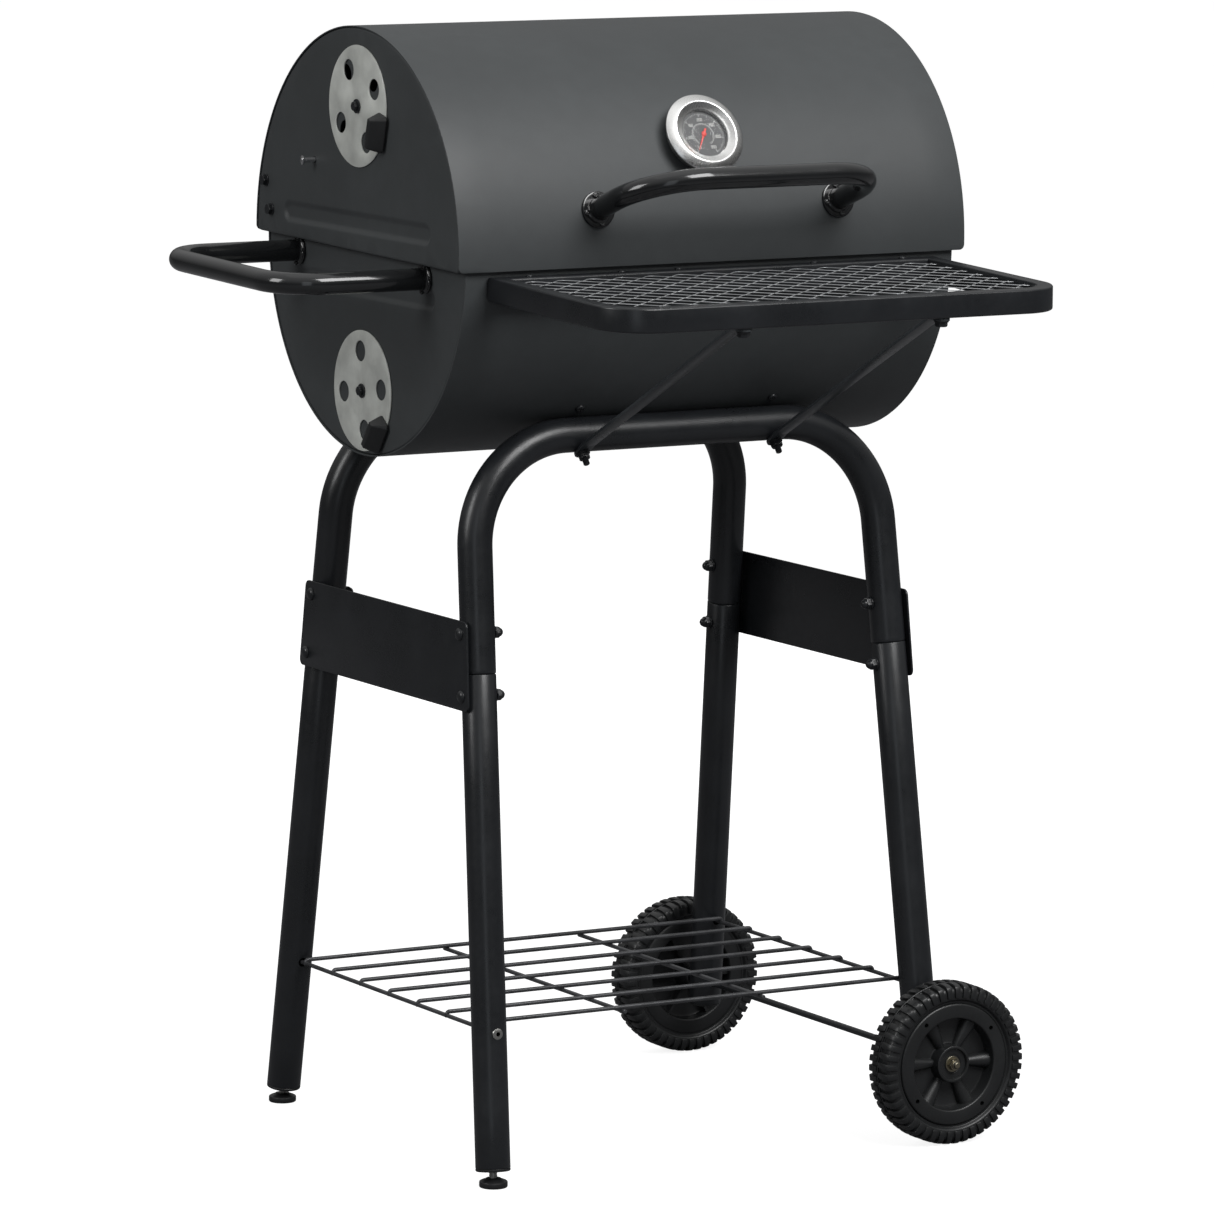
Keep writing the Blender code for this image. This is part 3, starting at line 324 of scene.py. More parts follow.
# ---------------------------------------------------------------- fasteners
# Each is built along +Z from its seat at 0, then turned onto its axis.
def place_new(bm, start, origin, axis):
    """Move the vertices made since start from +Z at the origin onto an axis."""
    u, _, axis = frame_of(axis)
    turn = Matrix((u, axis.cross(u), axis)).transposed().to_4x4()
    matrix = Matrix.Translation(Vector(origin)) @ turn
    for vert in list(bm.verts)[start:]:
        vert.co = matrix @ vert.co


WASHER_T = 1.25


def hex_bolt(bm, origin, axis, across, height, washer=0.0, twist=0.0):
    """Chamfered hexagon by its width across flats, on a washer of the given radius."""
    start, sides = len(bm.verts), 36
    base = 0.0
    if washer:
        revolve(bm, [(0.0, 0.0), (washer - 0.25, 0.0), (washer, 0.25), (washer, 1.0),
                     (washer - 0.25, WASHER_T), (0.0, WASHER_T)], (0, 0, 0), (0, 0, 1), 36)
        base = WASHER_T
    corner = across / sqrt(3)
    sections = []
    # share of the height, largest radius as a share of the corner's
    for share, limit in ((0.0, 1.0), (0.72, 1.0), (0.9, 0.955), (1.0, 0.86)):
        section = []
        for i in range(sides):
            a = 2 * pi * i / sides + twist
            flat = (i * 6 / sides) % 1.0
            r = min((across / 2) / cos((flat - 0.5) * pi / 3), corner * limit)
            section.append((r * cos(a), r * sin(a), base + height * share))
        sections.append(section)
    loft(bm, sections)
    place_new(bm, start, origin, axis)


def hex_nut(bm, origin, axis, across, height, bolt, stick, washer=0.0, twist=0.0):
    """Hexagon with a threaded end of diameter bolt standing out of it by stick."""
    start = len(bm.verts)
    hex_bolt(bm, (0, 0, 0), (0, 0, 1), across, height, washer, twist)
    top = height + (WASHER_T if washer else 0.0)
    r = bolt / 2
    profile = [(0.0, top - 1.0), (r, top - 1.0)]
    z = top
    while z < top + stick - 0.8:
        profile += [(r, z), (r - 0.35, z + 0.35)]
        z += 0.7
    profile += [(r, z), (r - 0.7, top + stick), (0.0, top + stick)]
    revolve(bm, profile, (0, 0, 0), (0, 0, 1), 20)
    place_new(bm, start, origin, axis)


def pan_screw(bm, origin, axis, radius, height):
    """Domed screw head with a cross recess."""
    start, sides, steps = len(bm.verts), 32, 7
    profile = [(radius, 0.0)]
    for i in range(steps):
        a = pi / 2 * i / steps
        profile.append((radius * cos(a) ** 0.75, 0.35 * height + 0.65 * height * sin(a)))
    profile.append((0.0, height))
    rows = []
    for r, z in profile:
        row = []
        for x, y in circle((0.0, 0.0), r, sides if r else 1):
            sink = 0.0
            if r < radius * 0.62 and min(abs(x), abs(y)) < radius * 0.13:
                sink = height * 0.42 * max(0.0, 1 - r / (radius * 0.66))
            row.append(bm.verts.new((x, y, z - sink)))
        rows.append(row)
    skin(bm, rows)
    bm.faces.new(list(reversed(rows[0])))
    place_new(bm, start, origin, axis)


def dome_nut(bm, origin, axis, across, height, dome, washer):
    start = len(bm.verts)
    hex_bolt(bm, (0, 0, 0), (0, 0, 1), across, height, washer)
    z = height - 0.3 + WASHER_T
    r = across * 0.44
    profile = [(0.0, z - 0.5), (r, z - 0.5), (r, z)]
    profile += [(r * cos(pi / 2 * i / 8), z + dome * sin(pi / 2 * i / 8)) for i in range(1, 8)]
    profile.append((0.0, z + dome))
    revolve(bm, profile, (0, 0, 0), (0, 0, 1), 28)
    place_new(bm, start, origin, axis)


# ---------------------------------------------------------------- shader helpers
def feed(tree, socket, value):
    """Link a socket, or set it to a colour or a plain value."""
    if isinstance(value, bpy.types.NodeSocket):
        tree.links.new(value, socket)
    elif socket.type == "RGBA":
        socket.default_value = (*value, 1.0)
    else:
        socket.default_value = value


def add_node(tree, kind, inputs, **settings):
    node = tree.nodes.new(kind)
    for key, value in settings.items():
        setattr(node, key, value)
    for key, value in inputs.items():
        feed(tree, node.inputs[key], value)
    return node


def tint(color, factor):
    return tuple(min(1.0, c * factor) for c in color)


class Shader:
    """Principled material whose textures follow object coordinates."""

    def __init__(self, name):
        self.material = bpy.data.materials.new(name)
        self.material.use_nodes = True
        self.tree = self.material.node_tree
        self.coords = self.add("ShaderNodeTexCoord", {}).outputs["Object"]

    def add(self, kind, inputs, **settings):
        return add_node(self.tree, kind, inputs, **settings)

    def noise(self, scale, detail=3.0, roughness=0.5, stretch=None, turn=(0, 0, 0)):
        vector = self.coords
        if stretch:
            mapping = {"Scale": stretch, "Rotation": turn, "Vector": self.coords}
            vector = self.add("ShaderNodeMapping", mapping).outputs["Vector"]
        return self.add("ShaderNodeTexNoise", {"Scale": scale, "Detail": detail,
                        "Roughness": roughness, "Vector": vector}).outputs["Fac"]

    def fit(self, value, between, to):
        """Map a range of a value onto another, clamped."""
        return self.add("ShaderNodeMapRange", {
            "From Min": between[0], "From Max": between[1], "To Min": to[0], "To Max": to[1],
            "Value": value}, clamp=True).outputs["Result"]

    def math(self, operation, first, second):
        return self.add("ShaderNodeMath", {0: first, 1: second}, operation=operation).outputs[0]

    def mix(self, amount, first, second):
        return self.add("ShaderNodeMix", {0: amount, 6: first, 7: second},
                        data_type="RGBA").outputs[2]

    def vary(self, pattern, base, dark, light, between=(0.35, 0.65)):
        """Base colour swinging between two tints of itself."""
        return self.mix(self.fit(pattern, between, to=(0.0, 1.0)), tint(base, dark),
                        tint(base, light))

    def overlay(self, color, pattern, between, amount, second):
        """Second colour over the first, up to amount where the pattern is high."""
        return self.mix(self.fit(pattern, between, to=(0.0, amount)), color, second)

    def bump(self, height, strength, distance, normal=None):
        inputs = {"Strength": strength, "Distance": distance, "Height": height}
        if normal:
            inputs["Normal"] = normal
        return self.add("ShaderNodeBump", inputs).outputs["Normal"]

    def put(self, values):
        principled = self.tree.nodes["Principled BSDF"]
        for key, value in values.items():
            feed(self.tree, principled.inputs[key], value)
        return self.material

    def finish(self, color, roughness, normal=None, metallic=0.0, extra=None):
        values = {"Base Color": color, "Roughness": roughness, "Metallic": metallic}
        if normal:
            values["Normal"] = normal
        self.material.diffuse_color = (0.1, 0.1, 0.1, 1.0)
        return self.put({**values, **(extra or {})})


# ---------------------------------------------------------------- materials
MIDDLE = (0.3, 0.7)      # the range most of a noise falls in


def heat_paint():
    """Matte paint: fine grain, faint mottling, tiny pale specks."""
    s = Shader("drum_paint")
    base = (0.0330, 0.0365, 0.0380)
    broad = s.noise(scale=5.0, detail=4.0, roughness=0.55)
    mottle = s.noise(scale=60.0)
    color = s.vary(broad, base, dark=0.90, light=1.12)
    color = s.overlay(color, mottle, between=(0.40, 0.62), amount=0.25, second=tint(base, 0.82))
    color = s.overlay(color, s.noise(scale=2600.0, detail=2.0), between=(0.66, 0.74), amount=0.28,
                      second=(0.105, 0.108, 0.110))
    streaks = s.noise(scale=14.0, detail=6.0, roughness=0.65, stretch=(1.0, 3.0, 3.0))
    rubbed = s.fit(streaks, between=(0.58, 0.80), to=(0.0, 1.0))
    roughness = s.math("ADD", s.fit(broad, MIDDLE, to=(0.50, 0.60)),
                       s.math("MULTIPLY", rubbed, -0.06))
    grain = s.noise(scale=1300.0, roughness=0.6)
    normal = s.bump(grain, strength=0.16, distance=0.00012)
    normal = s.bump(mottle, strength=0.05, distance=0.0006, normal=normal)
    return s.finish(color, roughness, normal, extra={"Specular IOR Level": 0.42})


def powder_coat(name, base):
    """Satin powder coat with its orange-peel skin."""
    s = Shader(name)
    peel = s.noise(scale=900.0, detail=2.0, roughness=0.45)
    broad = s.noise(scale=18.0, detail=4.0)
    color = s.vary(broad, base, dark=0.88, light=1.18)
    color = s.overlay(color, s.noise(scale=1900.0, detail=2.0), between=(0.69, 0.76), amount=0.22,
                      second=(0.07, 0.072, 0.075))
    patches = s.fit(s.noise(scale=160.0), between=(0.35, 0.65), to=(-0.025, 0.03))
    roughness = s.math("ADD", s.fit(broad, MIDDLE, to=(0.27, 0.35)), patches)
    normal = s.bump(peel, strength=0.14, distance=0.00022)
    return s.finish(color, roughness, normal, extra={"Specular IOR Level": 0.40})


def gloss_black():
    """Gloss enamel with faint smears."""
    s = Shader("gloss_black")
    base = (0.0075, 0.0080, 0.0085)
    broad = s.noise(scale=25.0, detail=4.0)
    smear = s.noise(scale=45.0, detail=5.0, roughness=0.6, stretch=(0.35, 1.0, 1.0))
    color = s.vary(broad, base, dark=0.9, light=1.2)
    roughness = s.fit(smear, between=(0.35, 0.70), to=(0.10, 0.19))
    normal = s.bump(s.noise(scale=420.0, detail=2.0), strength=0.07, distance=0.00030)
    return s.finish(color, roughness, normal, extra={
        "Coat Weight": 0.25, "Coat Roughness": 0.08, "Specular IOR Level": 0.42})


def galvanised():
    """Greenish-grey rolled sheet with soft smudges, spangle and rolling lines."""
    s = Shader("galvanised")
    base = (0.560, 0.575, 0.540)
    smudge = s.noise(scale=28.0, detail=5.0, roughness=0.6)
    roll = s.noise(scale=260.0, stretch=(1.0, 0.06, 1.0), turn=(0.35, 0, 0))
    spangle = s.add("ShaderNodeTexVoronoi", {"Scale": 95.0, "Vector": s.coords},
                    feature="F1").outputs["Color"]
    color = s.vary(smudge, base, dark=0.82, light=1.15, between=(0.33, 0.67))
    color = s.overlay(color, spangle, between=(0.0, 1.0), amount=0.18, second=(0.60, 0.615, 0.58))
    roughness = s.math("ADD", s.fit(smudge, MIDDLE, to=(0.36, 0.50)),
                       s.fit(roll, MIDDLE, to=(-0.05, 0.05)))
    normal = s.bump(roll, strength=0.12, distance=0.00008)
    return s.finish(color, roughness, normal, metallic=0.35, extra={"Specular IOR Level": 0.5})


def metal(name, base, roughness, grain_scale=700.0, relief=0.10):
    """Bare or plated metal with a fine grain."""
    s = Shader(name)
    grain = s.noise(scale=grain_scale, roughness=0.6, stretch=(1.0, 1.0, 1.0))
    broad = s.noise(scale=30.0, detail=4.0)
    color = s.vary(broad, base, dark=0.92, light=1.06)
    color = s.overlay(color, grain, between=(0.42, 0.70), amount=0.25, second=tint(base, 0.72))
    rough = s.math("ADD", s.fit(broad, MIDDLE, to=roughness),
                   s.fit(grain, MIDDLE, to=(-0.05, 0.06)))
    normal = s.bump(grain, strength=relief, distance=0.00006)
    return s.finish(color, rough, normal, metallic=1.0, extra={"Anisotropic": 0.35})


def plastic():
    """Moulded black plastic with a fine eroded skin."""
    s = Shader("black_plastic")
    base = (0.0075, 0.0080, 0.0085)
    grain = s.noise(scale=1500.0, roughness=0.6)
    broad = s.noise(scale=40.0, detail=4.0)
    flow = s.noise(scale=9.0, detail=5.0, roughness=0.6)
    color = s.vary(broad, base, dark=0.86, light=1.22)
    color = s.overlay(color, s.noise(scale=220.0, detail=5.0, roughness=0.7),
                      between=(0.60, 0.78), amount=0.16, second=(0.060, 0.060, 0.059))
    roughness = s.math("ADD", s.fit(flow, MIDDLE, to=(0.32, 0.46)),
                       s.fit(grain, MIDDLE, to=(-0.04, 0.05)))
    normal = s.bump(grain, strength=0.18, distance=0.00010)
    return s.finish(color, roughness, normal, extra={"Specular IOR Level": 0.45})


def wire_coat(name, base, metallic):
    s = Shader(name)
    broad = s.noise(scale=50.0, detail=4.0)
    grain = s.noise(scale=1200.0)
    color = s.vary(broad, base, dark=0.80, light=1.25)
    roughness = s.fit(broad, MIDDLE, to=(0.30, 0.42))
    normal = s.bump(grain, strength=0.15, distance=0.00012)
    return s.finish(color, roughness, normal, metallic, extra={"Specular IOR Level": 0.5})


def enamel():
    """Glossy vitreous enamel with pinholes and drips."""
    s = Shader("enamelled_wire")
    drips = s.noise(scale=120.0)
    pinholes = s.noise(scale=1600.0, detail=2.0)
    color = s.overlay((0.018, 0.018, 0.020), pinholes, between=(0.68, 0.75), amount=0.5,
                      second=(0.09, 0.088, 0.085))
    roughness = s.fit(drips, MIDDLE, to=(0.20, 0.38))
    normal = s.bump(drips, strength=0.25, distance=0.00040)
    normal = s.bump(s.noise(scale=1600.0, detail=2.0), strength=0.12, distance=0.00010,
                    normal=normal)
    return s.finish(color, roughness, normal, extra={"Coat Weight": 0.3, "Coat Roughness": 0.12})


def dial_print():
    s = Shader("dial_face")
    broad = s.noise(scale=90.0)
    color = s.vary(broad, (0.040, 0.041, 0.043), dark=0.9, light=1.15, between=MIDDLE)
    normal = s.bump(s.noise(scale=2200.0, detail=2.0), strength=0.08, distance=0.00006)
    return s.finish(color, s.fit(broad, MIDDLE, to=(0.42, 0.52)), normal)


def flat_ink(name, scale, dark, light, roughness):
    """Printed or painted colour between two shades, without relief."""
    s = Shader(name)
    pattern = s.noise(scale=scale, detail=2.0)
    color = s.mix(s.fit(pattern, MIDDLE, to=(0.0, 1.0)), dark, light)
    return s.finish(color, s.fit(pattern, MIDDLE, to=roughness))


def lens():
    """Clear flat glass: mostly seen through, with its surface reflection."""
    s = Shader("glass_lens")
    return s.put({
        "Roughness": s.fit(s.noise(scale=60.0, detail=4.0), MIDDLE, to=(0.02, 0.05)),
        "Base Color": (0.30, 0.31, 0.31), "Alpha": 0.045, "Specular IOR Level": 0.6})


# Finishes: material and the material slot it belongs to.
DRUM = heat_paint(), "drum_paint"
BLACK = powder_coat("black_powder_coat", base=(0.0095, 0.0105, 0.0120)), "black_powder_coat"
# Braces: the frame's black powder coat painted lighter, standing in for the light falling on their
# broad faces
BRACE = powder_coat("brace_coat_painted_light", base=(0.034, 0.038, 0.041)), "black_powder_coat"
GLOSS = gloss_black(), "gloss_black"
VENT = galvanised(), "galvanised"
STEEL = metal("stainless", base=(0.74, 0.74, 0.73), roughness=(0.24, 0.30), grain_scale=1500.0,
              relief=0.02), "stainless"
ZINC = metal("zinc_steel", base=(0.46, 0.46, 0.44), roughness=(0.28, 0.42)), "zinc_steel"
CHROME = metal("chromed_wire", base=(0.66, 0.66, 0.67), roughness=(0.08, 0.18),
               grain_scale=300.0), "chromed_wire"
PLASTIC = plastic(), "black_plastic"
WIRE = wire_coat("black_wire", base=(0.040, 0.041, 0.044), metallic=0.25), "black_wire"
# Shelf mesh: black-coated wire painted far paler than the bottom rack's, a painted highlight
# standing in for the light its strands catch
MESH = wire_coat("mesh_coat_painted_highlight", base=(0.225, 0.231, 0.237), metallic=0.40), "black_wire"
DIAL = dial_print(), "dial_face"
INK = flat_ink("dial_ink", scale=900.0, dark=(0.62, 0.62, 0.60), light=(0.78, 0.78, 0.76),
               roughness=(0.45, 0.6)), "dial_face"
RED = flat_ink("needle_red", scale=600.0, dark=(0.60, 0.030, 0.022), light=(0.72, 0.045, 0.030),
               roughness=(0.32, 0.45)), "needle_red"
GLASS = lens(), "glass_lens"
ENAMEL = enamel(), "enamelled_wire"
BRASS = metal("zinc_brass", base=(0.26, 0.235, 0.175), roughness=(0.30, 0.42)), "zinc_steel"

# ---------------------------------------------------------------- pressed end plates
VENT_R, VENT_HOLE_R, VENT_PITCH_R, VENT_T = 55.5, 9.6, 36.3, 1.2
VENT_UPPER, VENT_LOWER = (-5.5, 965.0), (3.0, 704.0)         # (y, z)
DISC_UPPER_TURN, DISC_LOWER_TURN = 28.0, 6.5                 # degrees
PLATE_UPPER_TURN, PLATE_LOWER_TURN = 42.0, 51.5
PLATE_T, PLATE_BEND = 1.2, 2.2                               # sheet, radius of the bent edge
CHANNEL_HALF, CHANNEL_WALL, CHANNEL_DEPTH = 11.0, 6.5, 2.6


def outline(radius, centre_z, front_z, rear_z, corner, inset):
    """Loop (y, z) round the part of a disc above a line, corners rounded, drawn inset."""
    arc_steps, corner_steps, line_steps = 150, 8, 60

    def corner_centre(z):
        y = sqrt((radius - corner) ** 2 - (z - centre_z) ** 2)
        return y, atan2(z - centre_z, y)

    small = corner - inset
    rear_cz, front_cz = rear_z + corner, front_z + corner
    (rear_y, rear_a), (front_y, front_a) = corner_centre(rear_cz), corner_centre(front_cz)
    tilt = atan2(rear_z - front_z, rear_y + front_y)
    points = []
    for i in range(arc_steps + 1):
        a = rear_a + (pi - front_a - rear_a) * i / arc_steps
        points.append(((radius - inset) * cos(a), centre_z + (radius - inset) * sin(a)))
    for i in range(1, corner_steps + 1):
        a = (pi - front_a) + (pi / 2 + front_a + tilt) * i / corner_steps
        points.append((-front_y + small * cos(a), front_cz + small * sin(a)))
    p, q = points[-1], (rear_y + small * sin(tilt), rear_cz - small * cos(tilt))
    for i in range(1, line_steps):
        points.append((p[0] + (q[0] - p[0]) * i / line_steps,
                       p[1] + (q[1] - p[1]) * i / line_steps))
    for i in range(corner_steps):
        a = -pi / 2 + tilt + (pi / 2 - tilt + rear_a) * i / corner_steps
        points.append((rear_y + small * cos(a), rear_cz + small * sin(a)))
    return points


def pressed_channel(reach, centre_z):
    """Depth function of a round-ended channel from y = -reach to reach, and points along it."""
    half, wall = CHANNEL_HALF, CHANNEL_WALL

    def depth(y, z):
        nearest = min(max(y, -reach), reach)
        s = min(max((half - hypot(y - nearest, z - centre_z)) / wall, 0.0), 1.0)
        return CHANNEL_DEPTH * s * s * (3 - 2 * s)

    points = []
    shares = (0.08, 0.2, 0.35, 0.5, 0.65, 0.8, 0.92)
    offsets = [half + 1.2, half + 0.3] + [half - wall * q for q in shares] + [half - wall - 0.4]
    for d in offsets:
        for i in range(61):
            y = -reach + 2 * reach * i / 60
            points += [(y, centre_z + d), (y, centre_z - d)]
        for i in range(1, 16):
            a = pi * i / 16
            points += [(reach + d * sin(a), centre_z + d * cos(a)),
                       (-reach - d * sin(a), centre_z + d * cos(a))]
    for i in range(40):
        points.append((-reach + 2 * reach * i / 39, centre_z + 0.01 * (i % 2)))
    return depth, points


def perforated(bm, rim, holes, lip, sides, outer_x, inner_x, extra=()):
    """Outer and inner faces of a sheet with round holes (y, z, radius), widened by lip.

    outer_x and inner_x give x at (y, z). Returns (outer, inner) vertex loops, the rim's first.
    """
    points, edges, spans = [], [], []
    for loop in [rim] + [circle((y, z), r + lip, sides) for y, z, r in holes]:
        start, count = len(points), len(loop)
        points += [Vector(p) for p in loop]
        edges += [(start + i, start + (i + 1) % count) for i in range(count)]
        spans.append(range(start, start + count))
    points += [Vector(p) for p in extra]
    found, _, triangles, origins, _, _ = delaunay_2d_cdt(points, edges, [], 0, 1e-4)
    merged = {source: i for i, sources in enumerate(origins) for source in sources}
    outer = [bm.verts.new((outer_x(p.x, p.y), p.x, p.y)) for p in found]
    inner = [bm.verts.new((inner_x(p.x, p.y), p.x, p.y)) for p in found]
    for triangle in triangles:
        cy = sum(found[i].x for i in triangle) / len(triangle)
        cz = sum(found[i].y for i in triangle) / len(triangle)
        if all(hypot(cy - y, cz - z) > r + lip - 0.01 for y, z, r in holes):
            bm.faces.new([outer[i] for i in triangle])
            bm.faces.new([inner[i] for i in reversed(triangle)])
    return [([outer[merged[i]] for i in span], [inner[merged[i]] for i in span])
            for span in spans]


def hole_wall(bm, loops, centre, stations):
    """Wall between an outer and an inner loop through circles (radius, x)."""
    outer, inner = loops
    rows = [outer]
    for radius, x in stations:
        rows.append([bm.verts.new((x, y, z)) for y, z in circle(centre, radius, len(outer))])
    skin(bm, rows + [inner])


def end_plate(name, side, face_x, radius, centre_z, front_z, rear_z, corner, flipped, holes,
              channel, depth, body, replaced):
    """Flat face with one channel, bent edge and flange all round; flipped hangs it below."""
    sheet, bend = PLATE_T, PLATE_BEND

    def mirror(y, z):
        return (y, 2 * centre_z - z) if flipped else (y, z)

    def edge(inset):
        loop = outline(radius, centre_z, front_z, rear_z, corner, inset)
        return [mirror(y, z) for y, z in loop]

    def x_at(into):
        return side * (face_x - into)

    def inside(y, z):
        margin = 1.5
        upright = mirror(y, z)[1]
        low = front_z + (rear_z - front_z) * (y + radius) / (2 * radius) + 0.3
        if hypot(y, upright - centre_z) > radius - bend - margin or upright < low + bend + margin:
            return False
        return all(hypot(y - a, z - b) > r + 0.3 + margin for a, b, r in holes)

    channel_depth, channel_points = pressed_channel(*channel)
    step = 22.0
    grid = [(i * step + (j % 2) * step / 2 + 0.13, centre_z + j * step * 0.87 + 0.07)
            for i in range(-10, 11) for j in range(-10, 11)]
    extra = [p for p in channel_points if inside(*p)]
    extra += [p for p in grid if inside(*p) and channel_depth(*p) <= 0]
    bm = bmesh.new()
    (rim_outer, rim_inner), *hole_loops = perforated(
        bm, edge(bend), holes, 0.3, 40,
        lambda y, z: x_at(channel_depth(y, z)), lambda y, z: x_at(sheet + channel_depth(y, z)),
        extra)

    # bent edge and flange: (inset, distance behind the face)
    turns = [pi / 2 * k / 5 for k in range(1, 6)]
    stations = [(bend * (1 - sin(a)), bend * (1 - cos(a))) for a in turns]
    stations += [(0.0, depth - 0.3), (0.3, depth), (sheet - 0.3, depth), (sheet, depth - 0.3)]
    stations += [(sheet + (bend - sheet) * (1 - sin(a)), sheet + (bend - sheet) * (1 - cos(a)))
                 for a in reversed(turns)]
    rows = [[bm.verts.new((x_at(into), y, z)) for y, z in edge(inset)] for inset, into in stations]
    skin(bm, [rim_outer] + rows + [rim_inner])
    for loops, (y, z, r) in zip(hole_loops, holes):
        sunk = channel_depth(y, z)
        hole_wall(bm, loops, (y, z), [(r, x_at(0.3 + sunk)), (r, x_at(sheet - 0.3 + sunk))])
    loose = [vert for vert in bm.verts if not vert.link_faces]
    bmesh.ops.delete(bm, geom=loose, context="VERTS")
    make(name, bm, DRUM, body, replaced, smooth=38.0, weld=False)


def ring_holes(centre, turn, centre_radius):
    """Centre hole and four vent holes round it, as (y, z, radius)."""
    holes = [(centre[0], centre[1], centre_radius)]
    for k in range(4):
        a = radians(turn + 90 * k)
        holes.append((centre[0] - VENT_PITCH_R * cos(a), centre[1] + VENT_PITCH_R * sin(a),
                      VENT_HOLE_R))
    return holes


lid_vents = ring_holes(VENT_UPPER, PLATE_UPPER_TURN, 3.0)
for tag, side in SIDES:
    end_plate(f"lid_end_{tag}_plate", side, LID_PLATE_X, LID_R - LID_T - GAP, LID_Z, LID_EDGE,
              LID_EDGE_REAR, corner=5.0, flipped=False, channel=(133.0, 858.5), depth=6.0,
              holes=(lid_vents if side < 0 else []) + [(RACK_PIVOT_Y, RACK_PIVOT_Z, 3.0)],
              body="lid", replaced=f"lid_end_{tag}")
body_vents = ring_holes(VENT_LOWER, PLATE_LOWER_TURN, 3.0)
for tag, side in SIDES:
    end_plate(f"body_end_{tag}_plate", side, BODY_PLATE_X, BODY_R - BODY_T - GAP, BODY_Z, BODY_Z,
              BODY_Z, corner=4.0, flipped=True, channel=(124.0, 798.5), depth=7.0,
              holes=body_vents if side < 0 else [], body="stand", replaced=f"body_end_{tag}")

# bosses the crank turns in, inside the body ends
bm = bmesh.new()
for side in (-1, 1):
    revolve(bm, [(2.8, 0.0), (5.0, 0.0), (5.5, 0.5), (5.5, 3.6), (6.3, 4.2), (2.8, 4.2)],
            (side * (BODY_PLATE_X - 5.4), CRANK_Y, HINGE_Z), (side, 0, 0), 32)
make("crank_bosses", bm, DRUM, "stand")


# ---------------------------------------------------------------- rolled sheets of the drum
def rolled_sheet(name, half_length, centre_z, radius, thickness, start, end, corner, body,
                 replaced):
    """Curved sheet between two angles in degrees, its four corners rounded."""
    arc_steps, corner_steps, columns = 168, 6, 14
    total = abs(radians(end - start)) * radius
    turns = [pi / 2 * k / corner_steps for k in range(corner_steps + 1)]
    distances = [corner * (1 - cos(a)) for a in turns]
    distances += [corner + (total - 2 * corner) * i / arc_steps for i in range(1, arc_steps)]
    distances += [total - corner * (1 - sin(a)) for a in turns]
    points = []
    for s in distances:
        edge = min(s, total - s)
        half = half_length
        if edge < corner:
            half += sqrt(max(0.0, corner ** 2 - (corner - edge) ** 2)) - corner
        angle = start + (end - start) * s / total
        points += [on_drum(half * (-1 + 2 * c / columns), centre_z, radius, angle)
                   for c in range(columns + 1)]
    quads = []
    for row in range(len(distances) - 1):
        for c in range(columns):
            a = row * (columns + 1) + c
            b = a + columns + 1
            quads.append((a, a + 1, b + 1, b) if end > start else (a, b, b + 1, a + 1))
    bm = bmesh.new()
    outer = [bm.verts.new(p) for p in points]
    inner = [bm.verts.new(p - Vector((0, p.y, p.z - centre_z)).normalized() * thickness)
             for p in points]
    edges = {}                             # directed edges, kept in order
    for quad in quads:
        bm.faces.new([outer[i] for i in quad])
        bm.faces.new([inner[i] for i in reversed(quad)])
        edges.update(dict.fromkeys(zip(quad, quad[1:] + quad[:1])))
    for a, b in edges:
        if (b, a) not in edges:
            bm.faces.new((outer[b], outer[a], inner[a], inner[b]))
    make(name, bm, DRUM, body, replaced, smooth=38.0, bevel=0.35, segments=3, angle=50.0)


rolled_sheet("lid_shell_sheet", LID_X, LID_Z, LID_R, LID_T,
             degrees(asin((LID_EDGE - LID_Z) / LID_R)),
             180.0 - degrees(asin((LID_EDGE_REAR - LID_Z) / LID_R)), 5.0, "lid", "lid_shell")
rolled_sheet("body_shell_sheet", BODY_X, BODY_Z, BODY_R, BODY_T, 0.0, -180.0, 3.0, "stand",
             "body_shell")

# ---------------------------------------------------------------- air dampers
KNOB_FROM_HOLE = 38.0                      # degrees
KNOB_HEIGHT = 13.5
# sections of the grip: (radial, tangential)
KNOB_FOOT = [(-9, -16), (-7, -17.5), (6, -17.5), (9, -14.5), (9, 14), (6, 17), (-7, 17), (-9, 15)]
KNOB_RIDGE = [(-5, -14), (-4.4, -15), (0.4, -15), (1, -14), (1, 11.5), (0.4, 12.5), (-4.4, 12.5),
              (-5, 11.5)]


def damper_disc(tag, inner_x, outer_x, centre, turn, body):
    """Disc with four vent holes and slightly rolled edges."""
    lip = 0.35
    holes = ring_holes(centre, turn, 3.3)
    bm = bmesh.new()
    loops = perforated(bm, circle(centre, VENT_R - lip, 120), holes, lip, 44,
                       lambda y, z: outer_x, lambda y, z: inner_x)
    edges = [(*centre, VENT_R, -lip)] + [(*hole, lip) for hole in holes]
    for loop, (y, z, r, flare) in zip(loops, edges):
        wide = r + flare * 0.29
        hole_wall(bm, loop, (y, z), [(wide, outer_x + 0.1), (r, outer_x + 0.35),
                                     (r, inner_x - 0.35), (wide, inner_x - 0.1)])
    make(f"vent_disc_{tag}_plate", bm, VENT, body, f"vent_disc_{tag}", smooth=30.0, weld=False)


def damper_knob(tag, base_x, centre, turn, body):
    """Wedge-shaped grip with sloping faces and a narrow ridge."""
    a = radians(turn - 90 + KNOB_FROM_HOLE)
    r = VENT_R - 4.0
    cy, cz = centre[0] - r * cos(a), centre[1] + r * sin(a)
    tilt = a + radians(9.5)
    radial_y, radial_z = -cos(tilt), sin(tilt)
    across_y, across_z = sin(tilt), cos(tilt)
    bm = bmesh.new()
    loft(bm, [[(base_x - KNOB_HEIGHT * share, cy + radial_y * p + across_y * q,
                cz + radial_z * p + across_z * q) for p, q in section]
              for share, section in ((0.0, KNOB_FOOT), (0.12, KNOB_FOOT), (1.0, KNOB_RIDGE))])
    make(f"vent_knob_{tag}_grip", bm, PLASTIC, body, f"vent_knob_{tag}", bevel=0.7, segments=4,
         angle=12.0)


